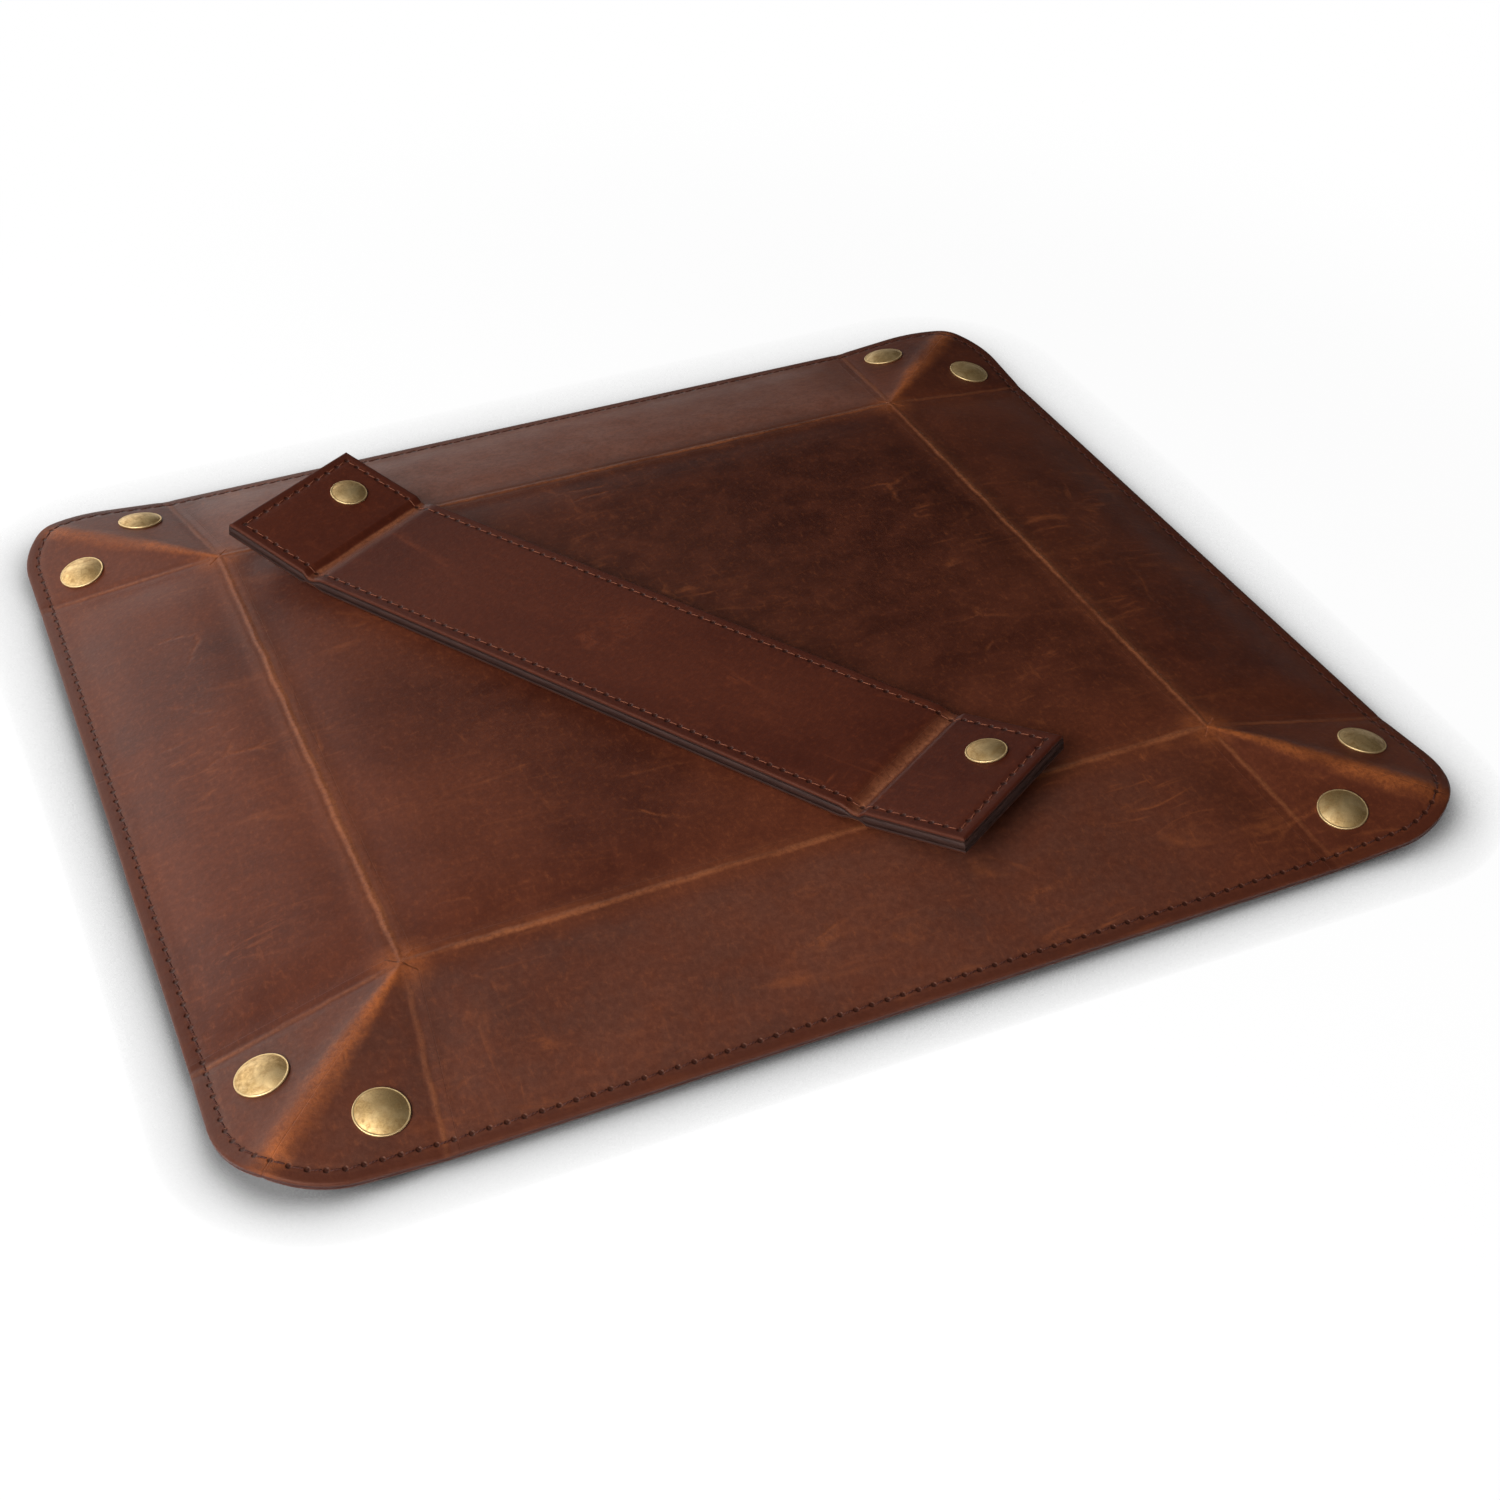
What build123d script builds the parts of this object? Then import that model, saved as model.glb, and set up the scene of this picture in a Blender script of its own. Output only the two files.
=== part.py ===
from build123d import *
import os
from math import acos, atan2, cos, degrees, hypot, radians, sin, tan

# A leather valet tray with four folding walls, eight corner ears with snaps,
# and a loose divider strip with a folding flap at each end.
# Lengths are in millimetres and angles in degrees. +Z is up, the front is -Y,
# and the origin is on the table under the middle of the tray.

os.makedirs("parts", exist_ok=True)

# Tray: the flat pattern and how far it is folded
crease_length = 210.0          # base, between the left and right creases
crease_depth = 179.0           # base, between the front and back creases
wall_width = 51.0              # from a base crease to the sewn edge
corner_radius = 27.0           # of the flat tray's outline
splay_angle = 7.2              # of a corner crease from square to the base crease
droop_angle = 10.3             # walls below level as the open tray lies
closed_angle = 65.0            # walls above level with the corners snapped

# Leather, boards and the room that the creases need
leather = 1.2                  # one layer
board = 1.2                    # stiffener between the two layers
board_play = 0.1               # round and above a board in its pocket
crease_gap = 0.3               # between two panels' edges at a crease
bead_radius = 1.19             # of a layer's rounded edge on a crease
base_corner_radius = 2.4       # of the base's own corners
crease_margin = 3.0            # from a base crease to the raised field
ear_crease_margin = 5.0        # from a corner crease to the raised field
edge_margin = 7.0              # from the sewn edge to the raised field
field_corner_radius = 3.0
field_slope = 35.0             # of the field's sides from upright
corner_relief = 8.5            # of a wall's inner corner, along the corner crease
corner_relief_setback = 0.9    # of the same corner, along the base crease
skive_run = 1.5                # slope of an ear's thinned edge at its crease
ridge_gap = 0.15               # from an ear to the corner's diagonal plane

# Snaps of the ears
snap_along = 16.1              # from the base corner, along the wall
snap_out = 36.6                # from the base corner, square to the wall
ear_cap_radius = 6.2
ear_cap_height = 1.9

# Snap hardware shared by the ears and the divider's flaps
cap_rim = 0.45                 # height of a cap's rolled rim
post_radius = 1.4
post_play = 0.1                # between a post and the leather
post_head_radius = 1.75
post_head = 0.35
socket_radius = 4.4
socket_height = 2.2
socket_web = 0.5
socket_bore = 2.7
socket_edge = 0.4
stud_radius = 4.0
stud_flange = 0.5
stud_neck_radius = 2.15
stud_height = 3.0
stud_wall = 0.35

# Divider strip
divider_length = 177.0         # between its two creases
divider_width = 47.0
divider_thickness = 4.5
flap_length = 30.0
flap_snap = 16.5               # from the crease to the snap
flap_snap_offset = 10.0        # from the strip's centre line to the snap
flap_cap_radius = 5.2
flap_cap_height = 1.6
lip_length = 1.4               # pinched leather beside the crease
lip_slope = 1.2                # run of the slope up to full thickness
core_play = 0.2                # from the slope to the core's end
divider_x = -19.9              # where the strip lies on the tray
divider_y = -2.4
divider_angle = -58.4          # its length, turned from +X
divider_seat = 0.3             # above the base's raised field
back_flap_angle = 12.0         # how far each flap stands up as the strip lies
front_flap_angle = 10.0

# Shares of the fold at which the ears are mitred along the ridge
mitre_shares = (0, 0.6, 0.7, 0.8, 0.9, 1)

half_length = crease_length / 2
half_depth = crease_depth / 2
sector_angle = 45.0 - splay_angle
panel_gap = leather + crease_gap
splay_sin_share = sin(radians(splay_angle))
splay_cos_share = cos(radians(splay_angle))
splay_tan_share = tan(radians(splay_angle))
diagonal_share = cos(radians(45.0))
base_height = wall_width * sin(radians(droop_angle)) + leather * cos(radians(droop_angle))
core_half = divider_thickness / 2 - leather
divider_height = base_height + leather + board + divider_seat + divider_thickness / 2
up = Vector(0, 0, 1)

# Each wall: direction it faces, distance of its crease, half its crease, and
# the neighbours at its two ends
walls = {
    "front": (-90.0, half_depth, half_length, {1: "left", -1: "right"}),
    "right": (0.0, half_length, half_depth, {1: "front", -1: "back"}),
    "back": (90.0, half_depth, half_length, {1: "right", -1: "left"}),
    "left": (180.0, half_length, half_depth, {1: "back", -1: "front"}),
}


def save(piece, name):
    piece.part.label = name
    export_step(piece.part, f"parts/{name}.step")


def outward(azimuth):
    return Vector(cos(radians(azimuth)), sin(radians(azimuth)), 0)


def ear_fold(elevation):
    """How far an ear is turned up about its crease, in degrees, when both walls
    of its corner stand at the given elevation and no leather stretches."""
    stand = radians(elevation)
    level = (splay_sin_share + splay_cos_share * cos(stand)) * diagonal_share
    height = splay_cos_share * sin(stand)
    rise = atan2(height, level) + acos(cos(radians(sector_angle)) / hypot(level, height))
    ridge_level = cos(rise) * diagonal_share
    off_wall = sin(rise) * cos(stand) - ridge_level * sin(stand)
    along_wall = ridge_level * (splay_cos_share - splay_sin_share * cos(stand))
    along_wall -= splay_sin_share * sin(stand) * sin(rise)
    return degrees(atan2(off_wall, along_wall))


open_fold = ear_fold(-droop_angle)
closed_fold = ear_fold(closed_angle)


def wall_plane(wall, elevation):
    """A wall's middle plane: x along its crease, y out to its sewn edge."""
    azimuth, distance, _, _ = walls[wall]
    out = outward(azimuth)
    rise = radians(elevation)
    y_dir = out * cos(rise) + up * sin(rise)
    z_dir = up * cos(rise) - out * sin(rise)
    origin = out * distance + up * base_height
    return Plane(origin=origin, x_dir=y_dir.cross(z_dir), z_dir=z_dir)


def ear_plane(wall, side, share):
    """An ear's middle plane when its corner is folded by a share of its travel:
    origin at the base corner, y along the crease that joins it to its wall. The
    ear lies on the x side named by side."""
    panel = wall_plane(wall, share * closed_angle - (1 - share) * droop_angle)
    fold = radians(share * closed_fold + (1 - share) * open_fold)
    crease = panel.x_dir * (side * splay_sin_share) + panel.y_dir * splay_cos_share
    across = panel.x_dir * splay_cos_share - panel.y_dir * (side * splay_sin_share)
    x_dir = across * cos(fold) + panel.z_dir * (side * sin(fold))
    origin = panel.from_local_coords((side * walls[wall][2], 0, 0))
    return Plane(origin=origin, x_dir=x_dir, z_dir=x_dir.cross(crease))


def ridge_plane(wall, side, share):
    """The corner's diagonal plane as it meets the open ear when the corner is
    folded by a share of its travel, with its normal towards the ear's own wall."""
    neighbour = wall_plane(wall, 0).x_dir * side
    normal = (outward(walls[wall][0]) - neighbour) * diagonal_share
    moved = ear_plane(wall, side, share)
    here = ear_plane(wall, side, 0)
    local = [normal.dot(axis) for axis in (moved.x_dir, moved.y_dir, moved.z_dir)]
    z_dir = here.x_dir * local[0] + here.y_dir * local[1] + here.z_dir * local[2]
    return Plane(origin=here.origin + z_dir * ridge_gap, z_dir=z_dir)


def ear_point(side, along, out):
    """A point of the flat pattern, measured from the base corner, in an ear's plane."""
    across = along * splay_cos_share - out * splay_sin_share
    return (side * across, along * splay_sin_share + out * splay_cos_share)


def section_plane(origin, plane):
    """A plane upright on the given one, with its y along that plane's normal."""
    return Plane(origin=origin, x_dir=plane.x_dir, z_dir=plane.y_dir * -1)


def at_height(plane, height):
    """Edges whose middles lie at one height above a plane."""
    tolerance = leather / 100
    return lambda edge: abs(plane.to_local_coords(edge.center()).Z - height) < tolerance


# Base: the upper layer is raised over its board, the lower layer lies flat
base_plane = Plane.XY.offset(base_height)


def base_outline():
    RectangleRounded(crease_length + 2 * leather, crease_depth + 2 * leather, base_corner_radius)


def base_field(inset):
    RectangleRounded(
        crease_length - 2 * inset, crease_depth - 2 * inset, field_corner_radius
    )


field_side = board * tan(radians(field_slope))

with BuildPart() as base_skin:
    with BuildSketch(base_plane):
        base_outline()
    extrude(amount=leather)
    fillet(base_skin.edges().filter_by(at_height(base_plane, leather)), bead_radius)
    with BuildSketch(base_plane.offset(leather)):
        base_field(crease_margin)
    extrude(amount=board, taper=field_slope)
    with BuildSketch(base_plane):
        base_field(crease_margin + field_side)
    extrude(amount=board, mode=Mode.SUBTRACT)
save(base_skin, "base_skin")

with BuildPart() as base_lining:
    with BuildSketch(base_plane):
        base_outline()
    extrude(amount=-leather)
    fillet(base_lining.edges().filter_by(at_height(base_plane, -leather)), bead_radius)
save(base_lining, "base_lining")

with BuildPart() as base_board:
    with BuildSketch(base_plane):
        base_field(crease_margin + field_side + board_play)
    extrude(amount=board - board_play)
save(base_board, "base_board")


# Walls: a bead on each end turns on the corner crease, and the inner corners
# are relieved where the walls of two sides come together
def wall_outline(half_crease):
    bead = leather / splay_cos_share
    start = half_crease - corner_relief_setback
    relief = half_crease + corner_relief * splay_tan_share + bead
    end = half_crease + wall_width * splay_tan_share + bead
    right = [(start, panel_gap), (relief, corner_relief), (end, wall_width)]
    return right + [(-x, y) for x, y in reversed(right)]


def wall_field(half_crease, inset):
    low = crease_margin + inset
    high = wall_width - edge_margin - inset
    side = (ear_crease_margin + inset) / splay_cos_share
    low_end = half_crease + low * splay_tan_share - side
    high_end = half_crease + high * splay_tan_share - side
    return [(low_end, low), (high_end, high), (-high_end, high), (-low_end, low)]


def end_edges(piece, plane, height, half_crease):
    """The edges of a wall's two beaded ends at one height above its plane."""
    ends = []
    for edge in piece.edges().filter_by(at_height(plane, height)):
        middle = plane.to_local_coords(edge.center())
        line = half_crease + middle.Y * splay_tan_share
        if abs(middle.X) > line and middle.Y > corner_relief:
            ends.append(edge)
    return ends


for wall, (_, _, half_crease, _) in walls.items():
    plane = wall_plane(wall, -droop_angle)

    with BuildPart() as wall_skin:
        with BuildSketch(plane):
            with BuildLine():
                Polyline(*wall_outline(half_crease), close=True)
            make_face()
        extrude(amount=leather)
        fillet(end_edges(wall_skin, plane, leather, half_crease), bead_radius)
        with BuildSketch(plane.offset(leather)):
            with BuildLine():
                Polyline(*wall_field(half_crease, 0), close=True)
            make_face()
        extrude(amount=board, taper=field_slope)
        with BuildSketch(plane):
            with BuildLine():
                Polyline(*wall_field(half_crease, field_side), close=True)
            make_face()
        extrude(amount=board, mode=Mode.SUBTRACT)
    save(wall_skin, f"{wall}_wall_skin")

    with BuildPart() as wall_lining:
        with BuildSketch(plane):
            with BuildLine():
                Polyline(*wall_outline(half_crease), close=True)
            make_face()
        extrude(amount=-leather)
        fillet(end_edges(wall_lining, plane, -leather, half_crease), bead_radius)
    save(wall_lining, f"{wall}_wall_lining")

    with BuildPart() as wall_board:
        with BuildSketch(plane):
            with BuildLine():
                Polyline(*wall_field(half_crease, field_side + board_play), close=True)
            make_face()
        extrude(amount=board - board_play)
    save(wall_board, f"{wall}_wall_board")


# Snaps: a domed cap whose post is headed over inside a socket or a stud
def snap_cap(plane, grip, web, radius, height):
    """A cap seated on a plane, with its post through the grip and the web."""
    foot = -(grip + web)
    axis = Axis(plane.origin, plane.z_dir)
    with BuildPart() as cap:
        with BuildSketch(section_plane(plane.origin, plane)):
            with BuildLine():
                Polyline(
                    (0, foot - post_head), (post_head_radius, foot - post_head),
                    (post_head_radius, foot), (post_radius, foot), (post_radius, 0),
                    (radius - cap_rim, 0),
                )
                RadiusArc((radius - cap_rim, 0), (radius - cap_rim, 2 * cap_rim), -cap_rim)
                dome_start = (radius - cap_rim, 2 * cap_rim)
                dome_rise = height - 2 * cap_rim
                dome_radius = ((radius - cap_rim) ** 2 + dome_rise ** 2) / (2 * dome_rise)
                RadiusArc(dome_start, (0, height), -dome_radius)
                Line((0, height), (0, foot - post_head))
            make_face()
        revolve(axis=axis)
    return cap


def snap_socket(plane):
    """A ring socket under a plane, open downwards."""
    axis = Axis(plane.origin, plane.z_dir)
    with BuildPart() as socket:
        with BuildSketch(section_plane(plane.origin, plane)):
            with BuildLine():
                Polyline(
                    (post_radius + post_play, 0), (socket_radius, 0),
                    (socket_radius, socket_edge - socket_height),
                    (socket_radius - socket_edge, -socket_height),
                    (socket_bore, -socket_height), (socket_bore, -socket_web),
                    (post_radius + post_play, -socket_web), close=True,
                )
            make_face()
        revolve(axis=axis)
    return socket


def snap_stud(plane):
    """A flanged stud under a plane, hollow for the post's head."""
    axis = Axis(plane.origin, plane.z_dir)
    neck = stud_neck_radius
    with BuildPart() as stud:
        with BuildSketch(section_plane(plane.origin, plane)):
            with BuildLine():
                Polyline(
                    (post_radius + post_play, 0), (stud_radius, 0), (stud_radius, -stud_flange),
                    (neck, -stud_flange), (neck, stud_wall - stud_height),
                    (neck - stud_wall, -stud_height), (0, -stud_height),
                    (0, stud_wall - stud_height), (neck - stud_wall, stud_wall - stud_height),
                    (neck - stud_wall, -stud_flange),
                    (post_radius + post_play, -stud_flange), close=True,
                )
            make_face()
        revolve(axis=axis)
    return stud


def skive_plane(plane, side):
    """The slope of an ear's edge beside its crease, through both layers."""
    origin = plane.from_local_coords((side * panel_gap, 0, -leather))
    slope = plane.x_dir * (side * skive_run) + plane.z_dir * (2 * leather)
    return Plane(origin=origin, x_dir=plane.y_dir, z_dir=slope.cross(plane.y_dir) * side)


# Ears: half of a corner each, thinned at the crease so that it folds flat
# against its wall, and meeting the other half along the diagonal ridge
def ear_layer(wall, side, start, thickness):
    """One layer of an ear, pierced for the snap's post and mitred so that the
    corner's two ears never meet on their way up."""
    plane = ear_plane(wall, side, 0)
    sector = radians(sector_angle)
    centre = wall_width - corner_radius
    tip = (side * start, start * cos(sector) / sin(sector))
    hinge_end = (side * start, (wall_width + start * splay_sin_share) / splay_cos_share)
    arc_start = ear_point(side, centre, wall_width)

    def on_arc(angle):
        turn = radians(angle)
        return ear_point(
            side, centre + corner_radius * cos(turn), centre + corner_radius * sin(turn)
        )

    with BuildPart() as layer:
        with BuildSketch(plane):
            with BuildLine():
                Polyline(tip, hinge_end, arc_start)
                ThreePointArc(arc_start, on_arc(67.5), on_arc(45))
                Line(on_arc(45), tip)
            make_face()
            with Locations(ear_point(side, snap_along, snap_out)):
                Circle(post_radius + post_play, mode=Mode.SUBTRACT)
        extrude(amount=thickness)
        split(bisect_by=skive_plane(plane, side), keep=Keep.BOTTOM)
        for share in mitre_shares:
            split(bisect_by=ridge_plane(wall, side, share), keep=Keep.TOP)
    return layer


for wall, (_, _, _, ends) in walls.items():
    for side, neighbour in ends.items():
        plane = ear_plane(wall, side, 0)
        name = f"ear_{wall}_{neighbour}"
        save(ear_layer(wall, side, panel_gap + skive_run / 2, leather), f"{name}_skin")
        save(ear_layer(wall, side, panel_gap, -leather), f"{name}_lining")

        snap_x, snap_y = ear_point(side, snap_along, snap_out)
        seat = Plane(
            origin=plane.from_local_coords((snap_x, snap_y, leather)),
            x_dir=plane.x_dir, z_dir=plane.z_dir,
        )
        under = seat.offset(-2 * leather)
        if wall in ("front", "back"):
            web = socket_web
            save(snap_socket(under), f"{name}_socket")
        else:
            web = stud_flange
            save(snap_stud(under), f"{name}_stud")
        cap = snap_cap(seat, 2 * leather, web, ear_cap_radius, ear_cap_height)
        save(cap, f"{name}_cap")


# Divider: two layers over a core, pinched together at the two creases
divider_along = Vector(1, 0, 0).rotate(Axis.Z, divider_angle)
divider_plane = Plane(origin=(divider_x, divider_y, divider_height), x_dir=divider_along, z_dir=up)
lip_end = lip_length + lip_slope
under_lip = lip_length + leather
core_end = under_lip + lip_slope + core_play
half_thickness = divider_thickness / 2


def flap_plane(side, angle):
    """A flap's middle plane, turned up about its crease by an angle."""
    rise = radians(angle)
    along = divider_plane.x_dir
    return Plane(
        origin=divider_plane.from_local_coords((side * divider_length / 2, 0, 0)),
        x_dir=along * cos(rise) + up * (side * sin(rise)),
        z_dir=up * cos(rise) - along * (side * sin(rise)),
    )


def divider_layer(face):
    """The middle's upper (face 1) or lower (face -1) layer."""
    crease = divider_length / 2
    with BuildPart() as layer:
        with BuildSketch(section_plane(divider_plane.origin, divider_plane)):
            with BuildLine():
                Polyline(
                    (0, face * core_half), (crease - under_lip - lip_slope, face * core_half),
                    (crease - under_lip, 0), (crease + leather, 0),
                )
                RadiusArc((crease + leather, 0), (crease, face * leather), -face * leather)
                Polyline(
                    (crease, face * leather), (crease - lip_length, face * leather),
                    (crease - lip_end, face * half_thickness), (0, face * half_thickness),
                    (0, face * core_half),
                )
            make_face()
            mirror(about=Plane.YZ)
        extrude(amount=divider_width / 2, both=True)
    return layer


save(divider_layer(1), "divider_skin")
save(divider_layer(-1), "divider_lining")

with BuildPart() as divider_core:
    with BuildSketch(divider_plane):
        Rectangle(divider_length - 2 * core_end, divider_width)
    extrude(amount=core_half, both=True)
save(divider_core, "divider_core")


def flap_layer(plane, side, face):
    """A flap's upper (face 1) or lower (face -1) layer, pierced for the post."""
    with BuildPart() as layer:
        with BuildSketch(section_plane(plane.origin, plane)):
            with BuildLine():
                Polyline(
                    (side * panel_gap, 0), (side * under_lip, 0),
                    (side * (under_lip + lip_slope), face * core_half),
                    (side * flap_length, face * core_half),
                    (side * flap_length, face * half_thickness),
                    (side * (panel_gap + lip_slope), face * half_thickness),
                    (side * panel_gap, face * leather), close=True,
                )
            make_face()
        extrude(amount=divider_width / 2, both=True)
        with BuildSketch(plane):
            with Locations((side * flap_snap, flap_snap_offset)):
                Circle(post_radius + post_play)
        extrude(amount=face * half_thickness, mode=Mode.SUBTRACT)
    return layer


for name, side, angle in (("back_flap", -1, back_flap_angle), ("front_flap", 1, front_flap_angle)):
    plane = flap_plane(side, angle)
    save(flap_layer(plane, side, 1), f"{name}_skin")
    save(flap_layer(plane, side, -1), f"{name}_lining")

    with BuildPart() as flap_core:
        with BuildSketch(plane):
            with Locations((side * (core_end + flap_length) / 2, 0)):
                Rectangle(flap_length - core_end, divider_width)
            with Locations((side * flap_snap, flap_snap_offset)):
                Circle(post_radius + post_play, mode=Mode.SUBTRACT)
        extrude(amount=core_half, both=True)
    save(flap_core, f"{name}_core")

    seat = Plane(
        origin=plane.from_local_coords((side * flap_snap, flap_snap_offset, half_thickness)),
        x_dir=plane.x_dir, z_dir=plane.z_dir,
    )
    cap = snap_cap(seat, divider_thickness, socket_web, flap_cap_radius, flap_cap_height)
    save(cap, f"{name}_cap")
    save(snap_socket(seat.offset(-divider_thickness)), f"{name}_socket")
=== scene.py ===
from math import acos, atan2, cos, degrees, hypot, pi, radians, sin, sqrt, tan

import bpy
import numpy as np
from mathutils import Matrix, Vector


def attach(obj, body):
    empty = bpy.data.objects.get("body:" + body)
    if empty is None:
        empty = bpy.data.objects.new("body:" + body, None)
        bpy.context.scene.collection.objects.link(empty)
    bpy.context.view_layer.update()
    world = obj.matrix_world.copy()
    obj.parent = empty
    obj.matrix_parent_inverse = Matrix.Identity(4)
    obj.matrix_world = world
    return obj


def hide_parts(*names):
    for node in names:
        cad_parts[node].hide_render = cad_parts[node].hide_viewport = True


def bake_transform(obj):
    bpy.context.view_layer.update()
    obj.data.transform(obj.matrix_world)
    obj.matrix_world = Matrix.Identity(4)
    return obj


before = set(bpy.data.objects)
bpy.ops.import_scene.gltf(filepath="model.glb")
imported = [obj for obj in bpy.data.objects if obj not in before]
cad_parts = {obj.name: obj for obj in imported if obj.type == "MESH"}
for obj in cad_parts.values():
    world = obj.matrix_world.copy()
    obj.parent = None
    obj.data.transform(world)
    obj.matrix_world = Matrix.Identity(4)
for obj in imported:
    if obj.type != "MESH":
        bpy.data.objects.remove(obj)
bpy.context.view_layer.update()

# Looks of the leather valet tray: every leather panel, seam, cap and edge as
# its own piece, some of them on the bodies of the imported model. Lengths are
# in millimetres and angles in degrees until a mesh is made, which is in metres.
MM = 0.001

# Tray: the flat pattern and how far it is folded
crease_length = 210.0
crease_depth = 179.0
wall_width = 51.0
corner_radius = 27.0
splay_angle = 7.2
droop_angle = 10.3
closed_angle = 65.0
leather = 1.2
board = 1.2
snap_along = 16.1
snap_out = 36.6

# Divider strip
divider_length = 177.0
divider_width = 47.0
divider_thickness = 4.5
flap_length = 30.0
flap_snap = 16.5
flap_snap_offset = 10.0
divider_x = -19.9
divider_y = -2.4
divider_heading = -58.4
divider_seat = 0.3
back_flap_angle = 12.0
front_flap_angle = 10.0

# Leather: how far a bend reaches from its crease, the raised fields over the
# boards, and the shapes of creases, seams and edges
bend_reach = 3.0
field_start = 3.2
ear_field_start = 3.6
edge_field_start = 5.0
field_run = 13.0
valley_depth = 0.20
corner_valley_depth = 0.15
pinch_height = 0.13
corner_pinch_height = 0.09
pinch_reach = 0.85
ridge_reach = 3.6
ridge_fold = 0.55
ridge_fold_reach = 4.2
edge_round = 0.65
layer_line = 0.10
skive_edge = 0.08
skive_slope = 0.33
bead_turn = 112.0
rim_share = 0.5
rim_reach = 4.0
bead_gap = 0.04
seam_inset = 3.5
seam_dip = 0.16
seam_reach = 0.9
stitch_pitch = 3.9
thread_radius = 0.24
strip_thread_radius = 0.18
strip_seam_inset = 3.0
core_bulge = 0.12
cap_bead = 0.2

half_length = crease_length / 2
half_depth = crease_depth / 2
outer_length = half_length + wall_width
outer_depth = half_depth + wall_width
sin_splay, cos_splay = sin(radians(splay_angle)), cos(radians(splay_angle))
sin_droop, cos_droop = sin(radians(droop_angle)), cos(radians(droop_angle))
base_height = wall_width * sin_droop + leather * cos_droop
divider_height = base_height + leather + board + divider_seat + divider_thickness / 2


def ear_fold(elevation):
    """How far an ear is turned up about its crease when both walls of its corner
    stand at the given elevation and no leather stretches."""
    stand = radians(elevation)
    level = (sin_splay + cos_splay * cos(stand)) / sqrt(2)
    height = cos_splay * sin(stand)
    sector = radians(45.0 - splay_angle)
    rise = atan2(height, level) + acos(cos(sector) / hypot(level, height))
    ridge_level = cos(rise) / sqrt(2)
    off_wall = sin(rise) * cos(stand) - ridge_level * sin(stand)
    along_wall = ridge_level * (cos_splay - sin_splay * cos(stand)) - sin_splay * sin(stand) * sin(rise)
    return atan2(off_wall, along_wall)


open_fold = ear_fold(-droop_angle)
sin_fold, cos_fold = sin(open_fold), cos(open_fold)


def smooth(t):
    t = np.clip(t, 0, 1)
    return t * t * (3 - 2 * t)


def bend_share(distance):
    return smooth((distance + bend_reach) / (2 * bend_reach))


# The tray's middle surface, between its two layers, for points of the flat
# pattern. One side of the tray is worked out, and the others mirror it.
def side_surface(out, along, near, end):
    run = out - near
    past = along - end
    level = np.full_like(out, base_height)
    base = np.stack([out, along, level], -1)
    wall = np.stack([near + run * cos_droop, along, level - run * sin_droop], -1)

    out_dir = np.array([cos_droop, 0, -sin_droop])
    along_dir = np.array([0, 1, 0])
    normal = np.array([sin_droop, 0, cos_droop])
    crease = out_dir * cos_splay + along_dir * sin_splay
    across = along_dir * cos_splay - out_dir * sin_splay
    across = across * cos_fold + normal * sin_fold
    u = run * cos_splay + past * sin_splay
    c = past * cos_splay - run * sin_splay
    corner = np.array([near, end, base_height])
    ear = corner + u[..., None] * crease + c[..., None] * across

    spot = base + (wall - base) * bend_share(run)[..., None]
    spot = spot + (ear - spot) * bend_share(c)[..., None]
    return spot


def ridge_slope():
    """Slope of an ear away from the corner's ridge, as a tangent."""
    far = np.array([40.0, 40.0])
    step = 10.0
    on_line = side_surface(half_length + far[:1], half_depth + far[:1], half_length, half_depth)
    beside = side_surface(
        half_length + far[:1] + step / sqrt(2), half_depth + far[:1] - step / sqrt(2),
        half_length, half_depth,
    )
    return float((on_line - beside)[0, 2] / step)


ridge_fall = ridge_slope()


def ridge_sink(spots):
    """How far the rounded ridge lies below the line where its two ears would meet."""
    run, past = np.abs(spots[..., 0]) - half_length, np.abs(spots[..., 1]) - half_depth
    reach = ridge_reach * smooth(np.minimum(run, past) / 22.0) + 1e-6
    off = np.abs(past - run) / sqrt(2)
    return ridge_fall * np.clip(reach - off, 0, None) ** 2 / (2 * reach)


def middle_surface(spots):
    x, y = np.abs(spots[..., 0]), np.abs(spots[..., 1])
    run, past = x - half_length, y - half_depth
    right = side_surface(x, y, half_length, half_depth)
    back = side_surface(y, x, half_depth, half_length)[..., [1, 0, 2]]
    place = np.where((past > run)[..., None], back, right)
    place[..., 2] -= ridge_sink(spots)
    place[..., 0] *= np.where(spots[..., 0] < 0, -1, 1)
    place[..., 1] *= np.where(spots[..., 1] < 0, -1, 1)
    return place


def with_normals(surface, spots):
    step = 0.05
    dx, dy = np.array([step, 0]), np.array([0, step])
    along = surface(spots + dx) - surface(spots - dx)
    across = surface(spots + dy) - surface(spots - dy)
    normal = np.cross(along, across)
    return surface(spots), normal / np.linalg.norm(normal, axis=-1, keepdims=True)


def edge_distance(spots):
    q = np.abs(spots) - np.array([outer_length - corner_radius, outer_depth - corner_radius])
    outside = np.linalg.norm(np.maximum(q, 0), axis=-1)
    return corner_radius - outside - np.minimum(q.max(-1), 0)


def crease_distances(spots):
    """Distances to the nearest base crease, corner crease and corner diagonal."""
    run, past = np.abs(spots[..., 0]) - half_length, np.abs(spots[..., 1]) - half_depth
    base = np.minimum(np.hypot(run, np.maximum(past, 0)), np.hypot(past, np.maximum(run, 0)))
    far = np.hypot(run, past)

    def ray(across, along):
        return np.where(along > 0, np.abs(across), far)

    right = ray(past * cos_splay - run * sin_splay, run * cos_splay + past * sin_splay)
    back = ray(run * cos_splay - past * sin_splay, past * cos_splay + run * sin_splay)
    ridge = ray((past - run) / sqrt(2), (past + run) / sqrt(2))
    return base, np.minimum(right, back), ridge


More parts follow.
